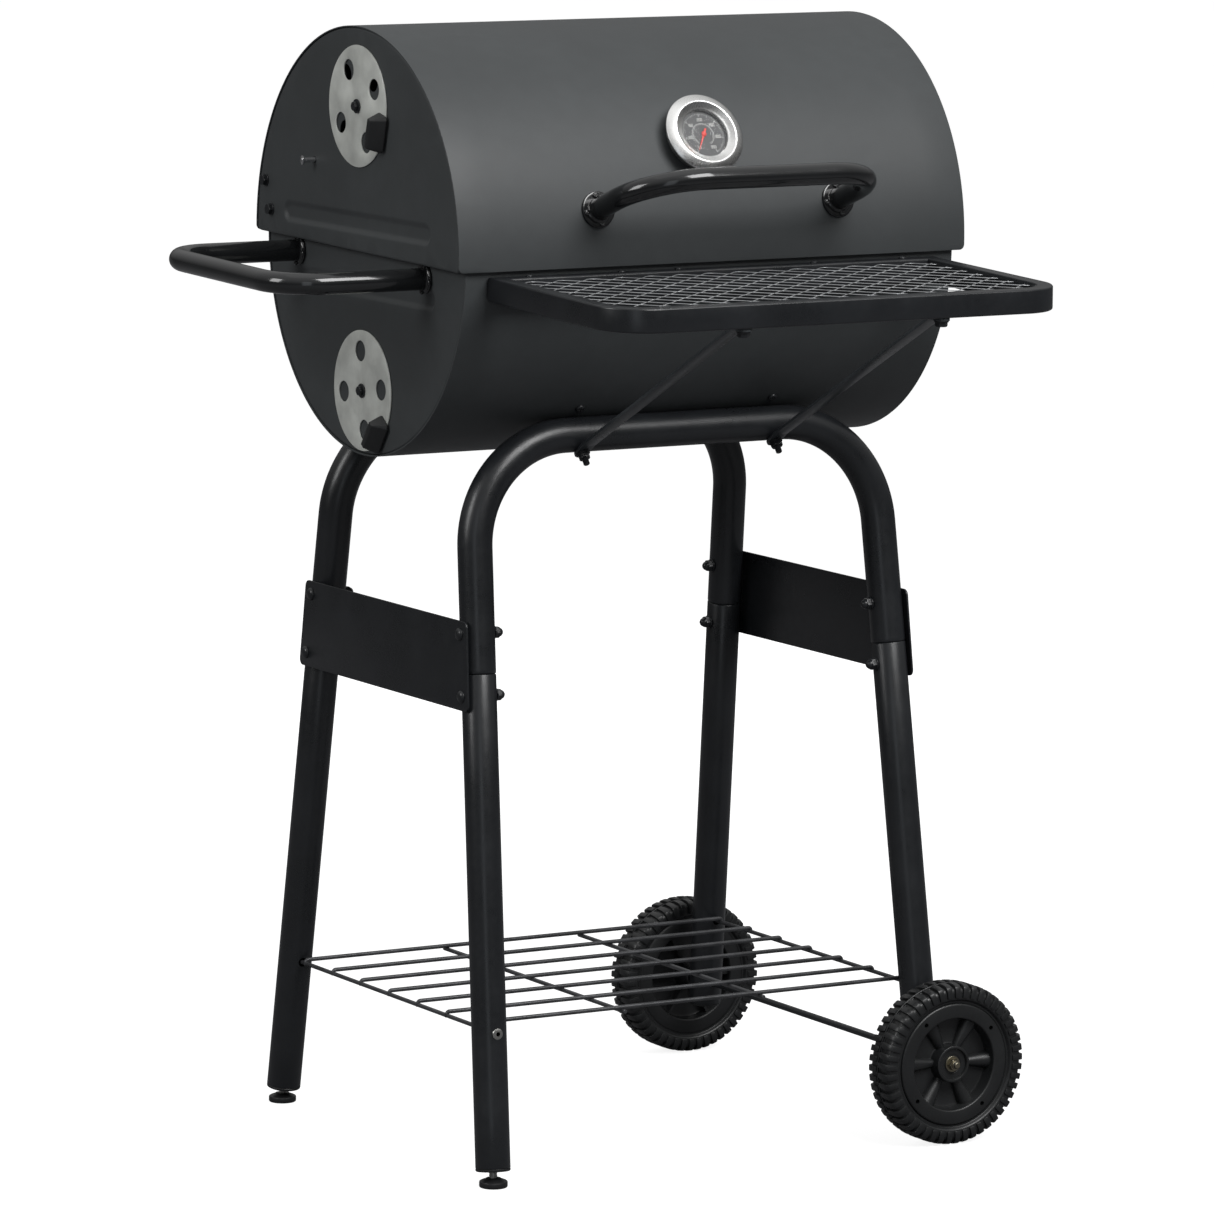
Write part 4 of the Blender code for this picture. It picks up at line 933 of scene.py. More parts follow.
def damper(tag, face_x, centre, turn, body, bolt_body):
    inner_x = -face_x - GAP
    outer_x = inner_x - VENT_T
    head_x = outer_x - GAP
    damper_disc(tag, inner_x, outer_x, centre, turn, body)
    damper_knob(tag, head_x, centre, turn, body)
    # pivot bolt, with its nut behind the plate
    bm = bmesh.new()
    hex_bolt(bm, (head_x, *centre), (-1, 0, 0), 8.0, 3.0, washer=6.6)
    cylinder(bm, (head_x - 0.4, *centre), (-face_x + 9.0, *centre), 2.45, 24)
    hex_nut(bm, (-face_x + 1.4, *centre), (1, 0, 0), 8.0, 4.0, bolt=4.8, stick=3.0)
    make(f"vent_bolt_{tag}_set", bm, BLACK, bolt_body, f"vent_bolt_{tag}")


damper("upper", LID_PLATE_X, VENT_UPPER, DISC_UPPER_TURN, "damper_upper", "lid")
damper("lower", BODY_PLATE_X, VENT_LOWER, DISC_LOWER_TURN, "damper_lower", "stand")

# ---------------------------------------------------------------- lid handle
LID_HANDLE_CENTRE_X, LID_HANDLE_HALF, LID_HANDLE_ANGLE = 4.0, 126.0, 11.9
LID_HANDLE_BAR_Y, LID_HANDLE_BAR_Z = -285.0, 913.0
LID_FLANGE_R, LID_FLANGE_T = 16.5, 2.6

handle_normal = radial(LID_HANDLE_ANGLE)


def handle_foot(side, lift):
    """Point over a foot of the handle, lifted off the lid."""
    x = LID_HANDLE_CENTRE_X + side * LID_HANDLE_HALF
    return Vector((x, 0, LID_Z)) + handle_normal * (LID_R + lift)


lid_bar = [(LID_HANDLE_CENTRE_X + side * LID_HANDLE_HALF, LID_HANDLE_BAR_Y, LID_HANDLE_BAR_Z)
           for side in (-1, 1)]
handle_path = rounded([handle_foot(-1, 0.6), *lid_bar, handle_foot(1, 0.6)], 62.0, 26)
bm = bmesh.new()
tube(bm, handle_path, HANDLE_R, sides=48)
make("lid_handle_tube", bm, GLOSS, "lid", "lid_handle")


def on_lid(side, across, along, lift):
    """Point near a handle foot, measured on the lid's curve."""
    a = radians(LID_HANDLE_ANGLE) + along / LID_R
    x = LID_HANDLE_CENTRE_X + side * LID_HANDLE_HALF + across
    return Vector((x, 0, LID_Z)) + Vector((0, -cos(a), sin(a))) * (LID_R + lift)


def saddle_flange(bm, side):
    """Round flange pressed to the curve of the lid."""
    rings, sides, r, thick = 10, 56, LID_FLANGE_R, LID_FLANGE_T
    profile = [(r * k / rings, thick) for k in range(rings)]
    profile += [(r - 0.7, thick), (r - 0.2, thick - 0.25), (r, thick - 0.8), (r, 0.15), (0, 0.15)]
    rows = []
    for radius, lift in profile:
        points = circle((0, 0), radius, sides if radius else 1)
        rows.append([bm.verts.new(on_lid(side, across, along, lift)) for across, along in points])
    skin(bm, rows)


flanges, screws = bmesh.new(), bmesh.new()
for side in (-1, 1):
    saddle_flange(flanges, side)
    for angle in (100.0, 190.0, 280.0, 10.0):
        across, along = 13.0 * cos(radians(angle)), 13.0 * sin(radians(angle))
        seat = on_lid(side, across, along, 2.5)
        pan_screw(screws, seat, on_lid(side, across, along, 3.5) - seat, 2.6, 2.0)
    # weld fillet between tube and flange
    path = handle_path if side < 0 else handle_path[::-1]
    revolve(flanges, [(9.5, 0.0), (12.6, 0.0), (11.2, 0.7), (10.5, 1.6), (10.25, 3.2), (9.5, 3.2)],
            handle_foot(side, 2.2), path[3] - path[0], 48)
make("lid_handle_flanges", flanges, GLOSS, "lid")
make("lid_handle_screws", screws, GLOSS, "lid")

# ---------------------------------------------------------------- side handle
SIDE_HANDLE_Y, SIDE_HANDLE_Z, SIDE_HANDLE_X = 7.5, 819.5, -396.0
SIDE_HANDLE_HALF, SIDE_HANDLE_SLOPE = 123.0, 0.0215

side_feet = [(SIDE_HANDLE_Y + q * SIDE_HANDLE_HALF,
              SIDE_HANDLE_Z + q * SIDE_HANDLE_HALF * SIDE_HANDLE_SLOPE) for q in (1, -1)]
bm = bmesh.new()
tube(bm, rounded([(-BODY_PLATE_X - 0.4, *side_feet[0]), (SIDE_HANDLE_X, *side_feet[0]),
                  (SIDE_HANDLE_X, *side_feet[1]), (-BODY_PLATE_X - 0.4, *side_feet[1])], 46.0, 24),
     HANDLE_R, sides=48)
make("side_handle_tube", bm, GLOSS, "stand", "side_handle")
flanges, screws = bmesh.new(), bmesh.new()
for y, z in side_feet:
    centre = Vector((-BODY_PLATE_X - 0.15, y, z))
    revolve(flanges, [(9.0, 0.0), (13.1, 0.0), (13.6, 0.4), (13.6, 1.9), (13.1, 2.4), (11.6, 2.4),
                      (10.9, 2.9), (10.4, 3.7), (10.2, 5.0), (9.0, 5.0)], centre, (-1, 0, 0), 64)
    for angle in (80.0, 170.0, 260.0, 350.0):
        a = radians(angle)
        pan_screw(screws, centre + Vector((-2.3, -12.1 * cos(a), 12.1 * sin(a))), (-1, 0, 0),
                  2.3, 2.0)
make("side_handle_flanges", flanges, GLOSS, "stand")
make("side_handle_screws", screws, GLOSS, "stand")

# ---------------------------------------------------------------- thermometer
# Heights are along dial_normal from dial_base; dial_x and dial_y span the face.
THERMO_X, THERMO_ANGLE, THERMO_LIFT = -5.2, 29.8, 3.2
dial_normal = radial(THERMO_ANGLE)
dial_base = Vector((THERMO_X, 0, LID_Z)) + dial_normal * (LID_R + THERMO_LIFT)
dial_x = Vector((1, 0, 0))
dial_y = dial_normal.cross(dial_x).normalized()


def dial_turned(name, profile, sides, finish, replaced, smooth=35.0):
    bm = bmesh.new()
    revolve(bm, profile, dial_base, dial_normal, sides)
    make(name, bm, finish, "lid", replaced, smooth=smooth)


dial_turned("thermometer_case_shell", [
    (4.3, 0.0), (33.4, 0.0), (34.1, 0.3), (34.4, 1.0), (34.4, 7.4), (34.9, 7.9), (37.6, 8.6),
    (38.5, 9.0), (38.75, 9.6), (38.6, 10.2), (38.0, 10.8), (36.0, 12.1), (33.4, 13.6),
    (31.9, 14.3), (31.0, 14.65), (30.3, 14.75), (29.6, 14.6), (28.8, 14.1), (26.0, 12.4),
    (24.2, 11.4), (23.5, 11.15), (23.2, 10.9), (23.2, 6.0), (4.3, 6.0)],
    144, STEEL, "thermometer_case", smooth=30.0)
dial_turned("thermometer_dial_plate", [
    (1.6, 6.3), (22.9, 6.3), (22.9, 7.1), (22.7, 7.3), (1.6, 7.3)], 96, DIAL, "thermometer_dial")

MARK_BASE, MARK_TOP, FINE_TOP = 7.29, 7.42, 7.40     # heights of the print
SCALE_START, SCALE_SWEEP = radians(-120.0), radians(-300.0)
SCALE_SIZE = 0.885                                   # scales the outer ring and its numerals
NUMERAL = 2.5                                        # height of a numeral
# segments of a seven-segment numeral as ends (column, row), and those each figure lights
SEGMENTS = {"a": ((-1, 1), (1, 1)), "b": ((1, 1), (1, 0)), "c": ((1, 0), (1, -1)),
            "d": ((-1, -1), (1, -1)), "e": ((-1, 0), (-1, -1)), "f": ((-1, 1), (-1, 0)),
            "g": ((-1, 0), (1, 0))}
FIGURES = {"0": "abcdef", "1": "bc", "2": "abged", "3": "abgcd", "5": "afgcd"}


def print_patch(bm, corners, top):
    """Thin raised patch of ink over corners (x, y) on the dial."""
    loft(bm, [[dial_base + dial_x * x + dial_y * y + dial_normal * height for x, y in corners]
              for height in (MARK_BASE, top)])


def print_line(bm, start, end, width, top=MARK_TOP, overrun=0.0):
    start, end = Vector(start), Vector(end)
    along = (end - start).normalized()
    across = Vector((-along.y, along.x)) * (width / 2)
    start, end = start - along * overrun, end + along * overrun
    print_patch(bm, [start - across, end - across, end + across, start + across], top)


def print_number(bm, text, x, y):
    """Upright numerals centred on a point of the dial."""
    half_width, half_height, advance = NUMERAL * 0.52 / 2, NUMERAL / 2, NUMERAL * 0.80
    width = NUMERAL * 0.17
    for i, figure in enumerate(text):
        cx = x + advance * (i - (len(text) - 1) / 2)
        for segment in FIGURES[figure]:
            start, end = [(cx + half_width * column, y + half_height * row)
                          for column, row in SEGMENTS[segment]]
            print_line(bm, start, end, width, overrun=width / 2)


def scale_angle(share):
    return SCALE_START + SCALE_SWEEP * share


bm = bmesh.new()
for i in range(61):
    a = scale_angle(i / 60)
    inner, width = (20.0, 0.50) if i % 10 == 0 else (21.2, 0.36) if i % 5 == 0 else (22.0, 0.24)
    out = Vector((cos(a), sin(a)))
    print_line(bm, out * (inner * SCALE_SIZE), out * (23.6 * SCALE_SIZE), width)
for k in range(7):
    a, r = scale_angle(k / 6), 16.6 * SCALE_SIZE
    print_number(bm, str(50 * (k + 1)), r * cos(a), r * sin(a))
# inner scale: a thin ring with ticks inside it
for i in range(120):
    a, b = scale_angle(i / 120), scale_angle((i + 1) / 120)
    print_patch(bm, [(r * cos(t), r * sin(t))
                     for r, t in ((10.7, a), (10.7, b), (11.05, b), (11.05, a))], FINE_TOP)
for k in range(25):
    a = scale_angle(k / 24)
    out = Vector((cos(a), sin(a)))
    print_line(bm, out * 9.3, out * 10.8, 0.28, FINE_TOP)
make("thermometer_dial_marks", bm, INK, "lid", smooth=0, weld=False)

# tapered needle at the scale's start, with its hub cap
needle_along = dial_x * cos(SCALE_START) + dial_y * sin(SCALE_START)
needle_across = dial_x * -sin(SCALE_START) + dial_y * cos(SCALE_START)
hub = dial_base + dial_normal * 8.4
NEEDLE = [(18.0, 0.22), (6.0, 0.75), (0.0, 1.1), (-5.5, 1.0), (-6.3, 0.6)]   # (along, half width)
bm = bmesh.new()
needle = [hub + needle_along * a + needle_across * b for a, b in NEEDLE]
needle += [hub + needle_along * a - needle_across * b for a, b in reversed(NEEDLE)]
loft(bm, [needle, [p + dial_normal * 0.45 for p in needle]])
revolve(bm, [(0.0, -0.2), (2.3, -0.2), (2.5, 0.1), (2.4, 0.7), (1.8, 1.1), (0.8, 1.35),
             (0.0, 1.4)], hub, dial_normal, 36)
make("thermometer_needle_pointer", bm, RED, "needle", "thermometer_needle")

dial_turned("thermometer_lens", [(0.0, 10.2), (22.6, 10.2), (22.9, 10.4), (22.9, 10.8),
                                 (22.6, 11.0), (0.0, 11.0)], 96, GLASS, "thermometer_glass")
bm = bmesh.new()
revolve(bm, [(0.0, 8.0), (1.0, 8.0), (1.2, 7.8), (1.2, 5.7), (3.9, 5.7), (3.9, -5.1), (5.6, -5.1),
             (6.2, -5.4), (6.2, -9.2), (5.8, -9.6), (3.2, -10.0), (3.0, -10.4), (3.0, -52.0),
             (2.6, -53.2), (1.5, -54.0), (0.0, -54.0)], dial_base, dial_normal, 40)
hex_bolt(bm, dial_base - dial_normal * 9.4, dial_normal, 13.0, 4.2)
make("thermometer_probe", bm, STEEL, "lid", "thermometer_stem")

# ---------------------------------------------------------------- hinges
KNUCKLE_R, LEAF_HALF, LEAF_T, LEAF_CORNER = 4.5, 26, 2.4, 7.0
# sections (y, z) of the webs that join leaf and knuckle
BODY_WEB = [(193.6, 824.4), (195.0, 812.0), (199.6, 817.4), (203.5, 821.8), (206.0, 823.0),
            (207.0, 824.0), (205.0, 826.5), (199.0, 824.6)]
LID_WEB = [(198.9, 846.2), (198.9, 829.5), (202.0, 827.0), (204.5, 830.0), (202.2, 832.0),
           (201.2, 834.0), (201.2, 846.2)]
HINGE_PIN = [(0.0, -31.0), (2.9, -31.0), (3.7, -30.4), (3.9, -29.4), (3.7, -28.4), (2.5, -28.0),
             (2.5, 28.2), (3.2, 28.7), (3.2, 29.0), (2.4, 29.4), (0.0, 29.4)]


def leaf(bm, x, drum_r, centre_z, start, end):
    """Leaf curved round the drum, with two round corners at its end angle."""
    steps, columns, corner = 14, 10, LEAF_CORNER
    r_in = drum_r + GAP
    r_out = r_in + LEAF_T
    length = abs(radians(end - start)) * r_out
    distances = [length * k / steps for k in range(steps)]
    distances += [length - corner + corner * sin(pi / 2 * k / 8) for k in range(9)]
    outer, inner = [], []
    for s in sorted({round(s, 4) for s in distances if s <= length}):
        rest = length - s
        trim = 0.0
        if rest < corner:
            trim = corner - sqrt(max(0.0, corner ** 2 - (corner - rest) ** 2))
        low, high = x - LEAF_HALF + trim, x + LEAF_HALF - trim
        for rows, r in ((outer, r_out), (inner, r_in)):
            rows.append([bm.verts.new(on_drum(low + (high - low) * k / columns, centre_z, r,
                                              start + (end - start) * s / length))
                         for k in range(columns + 1)])
    for rows in (outer, inner):
        for a, b in zip(rows, rows[1:]):
            for k in range(columns):
                bm.faces.new((a[k], a[k + 1], b[k + 1], b[k]))
    for k in range(columns):
        for row in (0, -1):
            a, b = outer[row], inner[row]
            bm.faces.new((a[k], a[k + 1], b[k + 1], b[k]))
    for a, b, c, d in zip(outer, outer[1:], inner, inner[1:]):
        for k in (0, columns):
            bm.faces.new((a[k], b[k], d[k], c[k]))


def knuckle(bm, low, high, web):
    loft(bm, [[(x, y, z) for y, z in web] for x in (low, high)])
    cylinder(bm, (low, HINGE_Y, HINGE_Z), (high, HINGE_Y, HINGE_Z), KNUCKLE_R, 36)


def leaf_screws(bm, x, drum_r, centre_z, near, far):
    """Two screws at the near angle and one at the far angle."""
    for angle, shift in ((near, -16), (near, 16), (far, 0)):
        pan_screw(bm, on_drum(x + shift, centre_z, drum_r + GAP + LEAF_T, angle), radial(angle),
                  4.0, 2.6)


for tag, side in SIDES:
    x = side * HINGE_X
    bm = bmesh.new()
    leaf(bm, x, BODY_R, BODY_Z, -176.2, -165.0)
    knuckle(bm, x - LEAF_HALF, x - 9, BODY_WEB)
    knuckle(bm, x + 9, x + LEAF_HALF, BODY_WEB)
    leaf_screws(bm, x, BODY_R, BODY_Z, -173.0, -167.5)
    revolve(bm, HINGE_PIN, (x, HINGE_Y, HINGE_Z), (1, 0, 0), 28)
    make(f"hinge_{tag}_body_leaf", bm, BLACK, "stand", f"hinge_{tag}_body", bevel=0.35, angle=50.0)
    bm = bmesh.new()
    leaf(bm, x, LID_R, LID_Z, 178.4, 163.0)
    knuckle(bm, x - 8.6, x + 8.6, LID_WEB)
    leaf_screws(bm, x, LID_R, LID_Z, 171.5, 166.0)
    make(f"hinge_{tag}_lid_leaf", bm, BLACK, "lid", f"hinge_{tag}_lid", bevel=0.35, angle=50.0)

# two bolts on the lid's left end, and a dome nut on its shell at the rear
bm = bmesh.new()
for y, z in ((179.0, 884.0), (168.0, 857.6)):
    hex_bolt(bm, (-LID_PLATE_X + 0.05, y, z), (-1, 0, 0), 9.0, 3.8, washer=5.8)
a = asin((855.0 - LID_Z) / LID_R)
dome_nut(bm, (-LID_X + 6.5, (LID_R + 0.1) * cos(a), LID_Z + (LID_R + 0.1) * sin(a)),
         (0, cos(a), sin(a)), 7.0, 3.0, dome=3.4, washer=4.6)
make("lid_end_left_bolts", bm, BLACK, "lid")

# ---------------------------------------------------------------- warming rack and its crank
RACK_X, RACK_WIRE_R, RACK_THIN_R = 240.0, 2.5, 1.7
CRANK_X = 246.6
rack_front_y = RACK_PIVOT_Y - RACK_LENGTH
y, z = RACK_PIVOT_Y, RACK_PIVOT_Z
bm = bmesh.new()
for side in (-1, 1):
    tube(bm, rounded([(side * (LID_X + 13.4), y, z), (side * RACK_X, y, z),
                      (side * RACK_X, y - 24, z), (side * RACK_X, rack_front_y + 8, z)],
                     [0, 6, 0, 0], 8), RACK_WIRE_R, sides=20, ends=0.8)
    # flattened end outside the lid
    start = len(bm.verts)
    revolve(bm, [(0.0, -1.3), (2.6, -1.3), (4.2, -0.8), (4.4, 0.0), (4.2, 0.8), (2.6, 1.3),
                 (0.0, 1.3)], (side * (LID_X + 11.9), y, z), (1, 0, 0), 28)
    for vert in list(bm.verts)[start:]:
        vert.co.y = y + (vert.co.y - y) * 0.72
cross_wires = [(y - 12, RACK_WIRE_R), (rack_front_y + 10, RACK_WIRE_R)]
cross_wires += [(y - 12 - 13.6 * i, RACK_THIN_R) for i in range(1, 10)]
for wire_y, radius in cross_wires:
    tube(bm, [(-RACK_X - 0.6, wire_y, z + 0.2), (RACK_X + 0.6, wire_y, z + 0.2)], radius,
         sides=16, ends=0.6)
for x in (-150, -50, 50, 150):
    tube(bm, [(x, y - 9.5, z - 2.3), (x, rack_front_y + 8.0, z - 2.3)], RACK_THIN_R, sides=14,
         ends=0.6)
make("warming_rack_wires", bm, CHROME, "rack", "warming_rack", smooth=50.0)

bm = bmesh.new()
tube(bm, rounded([(-BODY_PLATE_X + 1.8, CRANK_Y, HINGE_Z), (-CRANK_X, CRANK_Y, HINGE_Z),
                  (-CRANK_X, rack_front_y, z), (CRANK_X, rack_front_y, z),
                  (CRANK_X, CRANK_Y, HINGE_Z), (BODY_PLATE_X - 1.8, CRANK_Y, HINGE_Z)],
                 [0, 3.4, 5, 5, 3.4, 0], 8), RACK_WIRE_R - 0.2, sides=20, ends=0.8)
make("rack_crank_wire", bm, CHROME, "crank", "rack_crank", smooth=50.0)

# ---------------------------------------------------------------- grates
COOKING_Z, COOKING_FRAME_R = 806.0, 3.4
CHARCOAL_Z, CHARCOAL_FRAME_R = 722.0, 3.6


def drum_half(z, margin):
    """Half width inside the body at height z, less a margin."""
    return sqrt((BODY_R - BODY_T - margin) ** 2 - (z - BODY_Z) ** 2)


def grate(node, z, half_x, half_y, frame_r, bar_r, pitch):
    bm = bmesh.new()
    tube(bm, rounded([(0, -half_y, z), (half_x, -half_y, z), (half_x, half_y, z),
                      (-half_x, half_y, z), (-half_x, -half_y, z), (0, -half_y, z)],
                     [0, 14, 14, 14, 14, 0], 8), frame_r, sides=20)
    count = int(2 * half_x / pitch)
    bar_z = z + frame_r * 0.55
    for k in range(1, count):
        x = -half_x + 2 * half_x / count * k
        tube(bm, [(x, -half_y - 0.5, bar_z), (x, half_y + 0.5, bar_z)], bar_r, sides=12, ends=0.7)
    for y in (-half_y / 3, half_y / 3):
        tube(bm, [(-half_x - 0.5, y, z - 2.2), (half_x + 0.5, y, z - 2.2)], bar_r + 0.6,
             sides=14, ends=0.8)
    make(f"{node}_bars", bm, ENAMEL, "stand", node, smooth=50.0)


grate("cooking_grate", COOKING_Z, 236.0, drum_half(COOKING_Z, 6.0), COOKING_FRAME_R,
      bar_r=2.2, pitch=13.6)
grate("charcoal_grate", CHARCOAL_Z, 232.0, drum_half(CHARCOAL_Z, 6.5), CHARCOAL_FRAME_R,
      bar_r=2.6, pitch=16.0)

# folded ledges the grates rest on, inside the drum
bm = bmesh.new()
for z, frame_r in ((COOKING_Z, COOKING_FRAME_R), (CHARCOAL_Z, CHARCOAL_FRAME_R)):
    top = z - frame_r - 0.2
    heights = [top - 14.0 + 14.0 * k / 6 for k in range(7)]
    shelf_y = drum_half(top, 0.25) - 15.0
    section = [(drum_half(h, 0.25), h) for h in heights]
    section += [(shelf_y, top), (shelf_y, top - 1.6), (drum_half(top - 1.6, 0.25) - 2.6, top - 1.6)]
    section += [(drum_half(h, 0.25) - 1.6, h) for h in reversed(heights[:5])]
    for side in (-1, 1):
        for x in (-170.0, 170.0):
            loft(bm, [[(x + shift, side * y, h) for y, h in section] for shift in (-17, 17)])
make("grate_ledges", bm, DRUM, "stand", bevel=0.3, angle=30.0)

# ---------------------------------------------------------------- stand
LEG_X500, LEG_Y500 = 216.5, 145.0          # leg axes at z = 500
SPLAY, LEAN = 0.032, 0.128                 # outward x and y per unit of drop
FRAME_TOP_Z, FRAME_BEND = 668.8, 100.0
FRAME_TO_AXIS = 208.8                      # from the frame's top tubes to the drum's axis
JOINT_Z, PLUG_Z, FOOT_LEG_Z, AXLE_LEG_Z = 460.0, 400.0, 17.0, 56.0
BOTTOM_RACK_Z = 140.0
SADDLE_X = 102.0


def leg_at(side_x, side_y, z):
    drop = 500 - z
    return Vector((side_x * (LEG_X500 + SPLAY * drop), side_y * (LEG_Y500 + LEAN * drop), z))


def saddle(side_x, side_y):
    """Point on a top tube under the drum, and the direction to the drum's axis."""
    x = side_x * SADDLE_X
    centre = Vector((x, leg_at(side_x, side_y, FRAME_TOP_Z).y, FRAME_TOP_Z))
    return centre, (Vector((x, 0, BODY_Z)) - centre).normalized()


# upper frame: one bent tube at each end of y, necked down where it plugs into the legs
neck_r, bore_r = TUBE_R - TUBE_WALL - 0.75, TUBE_R - TUBE_WALL
NECK = [(PLUG_Z, neck_r - 0.5), (PLUG_Z + 0.6, neck_r), (JOINT_Z - 0.2, neck_r),
        (JOINT_Z + GAP, TUBE_R - 0.9), (JOINT_Z + GAP + 0.35, TUBE_R - 0.3),
        (JOINT_Z + GAP + 1.0, TUBE_R), (JOINT_Z + 4.0, TUBE_R)]          # (z, radius)
for tag, end in ENDS:
    arch = rounded([leg_at(-1, end, JOINT_Z + 7), leg_at(-1, end, FRAME_TOP_Z),
                    leg_at(1, end, FRAME_TOP_Z), leg_at(1, end, JOINT_Z + 7)], FRAME_BEND, 36)
    path = [leg_at(-1, end, z) for z, _ in NECK] + arch
    path += [leg_at(1, end, z) for z, _ in reversed(NECK)]
    neck = [r for _, r in NECK]
    outer = neck + [TUBE_R] * len(arch) + neck[::-1]
    neck_bore = [neck_r - TUBE_WALL] * len(NECK)
    inner = neck_bore + [bore_r] * len(arch) + neck_bore
    bm = bmesh.new()
    tube(bm, path, outer, inner, 56)
    make(f"frame_{tag}_tube", bm, BLACK, "stand", f"frame_{tag}", smooth=45.0)


def drill(ob, centre, radius):
    """Hole through a leg along y."""
    bm = bmesh.new()
    cylinder(bm, centre - Vector((0, 30, 0)), centre + Vector((0, 30, 0)), radius, 28)
    cut(ob, bm)


def leg(tag, side_x, side_y):
    top = leg_at(side_x, side_y, JOINT_Z)
    low = leg_at(side_x, side_y, FOOT_LEG_Z if side_x < 0 else AXLE_LEG_Z)
    up = (top - low).normalized()
    stations = [(low, TUBE_R - 0.45), (low + up * 0.15, TUBE_R - 0.15), (low + up * 0.5, TUBE_R),
                (low + up * 40, TUBE_R), (top - up * 140, TUBE_R), (top - up * 0.9, TUBE_R),
                (top - up * 0.35, TUBE_R - 0.3), (top, TUBE_R - 0.9)]
    bm = bmesh.new()
    tube(bm, [p for p, _ in stations], [r for _, r in stations], bore_r, 56)
    ob = make(f"leg_{tag}_tube", bm, BLACK, "stand", f"leg_{tag}", smooth=45.0)
    drill(ob, leg_at(side_x, side_y, BOTTOM_RACK_Z), 4.3)
    if side_x < 0:
        return
    drill(ob, leg_at(side_x, side_y, WHEEL_R), AXLE_R + 0.4)
    # cap closing the end of a wheeled leg
    bm = bmesh.new()
    plug_r = bore_r - 0.3
    revolve(bm, [(0.0, -2.2), (14.6, -2.2), (15.6, -1.7), (15.9, -0.9), (15.9, -0.2),
                 (plug_r, -0.2), (plug_r, 8.0), (12.0, 8.0), (11.8, 0.4), (0.0, 0.4)],
            low, up, 48)
    make(f"leg_{tag}_cap", bm, PLASTIC, "stand", smooth=40.0)


for side_tag, side in SIDES:
    for end_tag, end in ENDS:
        leg(f"{end_tag}_{side_tag}", side, end)

# saddle bolts through tube and drum: nut below, domed head and washer inside the drum
for k, (side, end) in enumerate(((-1, -1), (1, -1), (-1, 1), (1, 1))):
    centre, up = saddle(side, end)
    low, stick, twist = (19.6, 6.2, 0.0) if end < 0 else (16.6, 5.6, 0.2)
    bm = bmesh.new()
    hex_nut(bm, centre - up * low, -up, 10.0, 4.6, bolt=6.0, stick=stick, washer=6.4,
            twist=twist + 0.3 * k)
    cylinder(bm, centre - up * (low - 0.2), centre + up * 27.0, 2.95, 24)
    revolve(bm, [(0.0, 0.0), (8.0, 0.0), (8.3, 0.3), (8.3, 1.2), (6.9, 1.5), (6.4, 2.8),
                 (4.6, 4.2), (2.2, 4.9), (0.0, 5.0)],
            centre + up * (FRAME_TO_AXIS - BODY_R + BODY_T + 0.4), up, 36)
    make(f"saddle_bolt_{k + 1}_set", bm, BLACK, "stand", f"saddle_bolt_{k + 1}")

# domed screws in the drum's front, just above the front tube
bm = bmesh.new()
for side in (-1, 1):
    centre, _ = saddle(side, -1)
    normal = radial(5.6 - degrees(atan2(BODY_Z - centre.z, -centre.y)))
    seat = Vector((side * SADDLE_X, 0, BODY_Z)) + normal * BODY_R
    pan_screw(bm, seat - normal * 0.1, normal, 4.6, 3.0)
make("drum_front_screws", bm, BLACK, "stand")

# ---------------------------------------------------------------- side plates
SIDE_PLATE_T = 2.0
SIDE_PLATE = [(0, 509.0), (157.0, 509.0), (165.5, 428.0), (-165.5, 428.0), (-157.0, 509.0),
              (0, 509.0)]                  # (y, z)
for tag, side in SIDES:
    def off_leg(y, z, gap):
        """Point outside the splayed legs' outer face."""
        return Vector((side * (LEG_X500 + SPLAY * (500 - z) + TUBE_R + gap), y, z))

    corners = rounded([(y, z, 0) for y, z in SIDE_PLATE], [0, 6, 6, 6, 6, 0], 8)[:-1]
    bm = bmesh.new()
    loft(bm, [[off_leg(p.x, p.y, gap) for p in corners]
              for gap in (GAP + 0.02, GAP + SIDE_PLATE_T)])
    make(f"side_plate_{tag}_sheet", bm, BLACK, "stand", f"side_plate_{tag}", bevel=0.45,
         segments=3, angle=50.0)
    bm = bmesh.new()
    normal = Vector((side, 0, SPLAY)).normalized()
    for end in (-1, 1):
        for z in (497.0, 441.0):
            centre = leg_at(side, end, z)
            seat = off_leg(centre.y, z, GAP + SIDE_PLATE_T)
            revolve(bm, [(0.0, 0.0), (5.6, 0.0), (5.9, 0.3), (5.6, 1.4), (4.4, 2.6), (2.6, 3.3),
                         (0.0, 3.5)], seat, normal, 32)
            cylinder(bm, seat, (centre.x - side * TUBE_R, centre.y, z), 2.9, 20)
            dome_nut(bm, (centre.x - side * (TUBE_R - 0.05), centre.y, z - SPLAY * TUBE_R),
                     -normal, 10.0, 4.4, dome=4.6, washer=6.2)
    make(f"side_plate_{tag}_bolts", bm, BLACK, "stand")

# ---------------------------------------------------------------- bottom rack
BOTTOM_WIRE_R, BOTTOM_ROWS, BOTTOM_REACH = 2.0, 7, 168.0
rack_x, rack_y, _ = leg_at(1, 1, BOTTOM_RACK_Z)
z = BOTTOM_RACK_Z
bm = bmesh.new()
for side in (-1, 1):
    tube(bm, [(side * rack_x, -rack_y - 12.0, z), (side * rack_x, rack_y + 12.0, z)],
         BOTTOM_WIRE_R, sides=20, ends=0.6)
for k in range(BOTTOM_ROWS):
    y = -BOTTOM_REACH + 2 * BOTTOM_REACH * k / (BOTTOM_ROWS - 1)
    x = rack_x + 0.4
    tube(bm, rounded([(-x, y, z - 1.6), (-x, y, z + 3.6), (x, y, z + 3.6), (x, y, z - 1.6)],
                     2.6, 6), BOTTOM_WIRE_R, sides=20, ends=0.5)
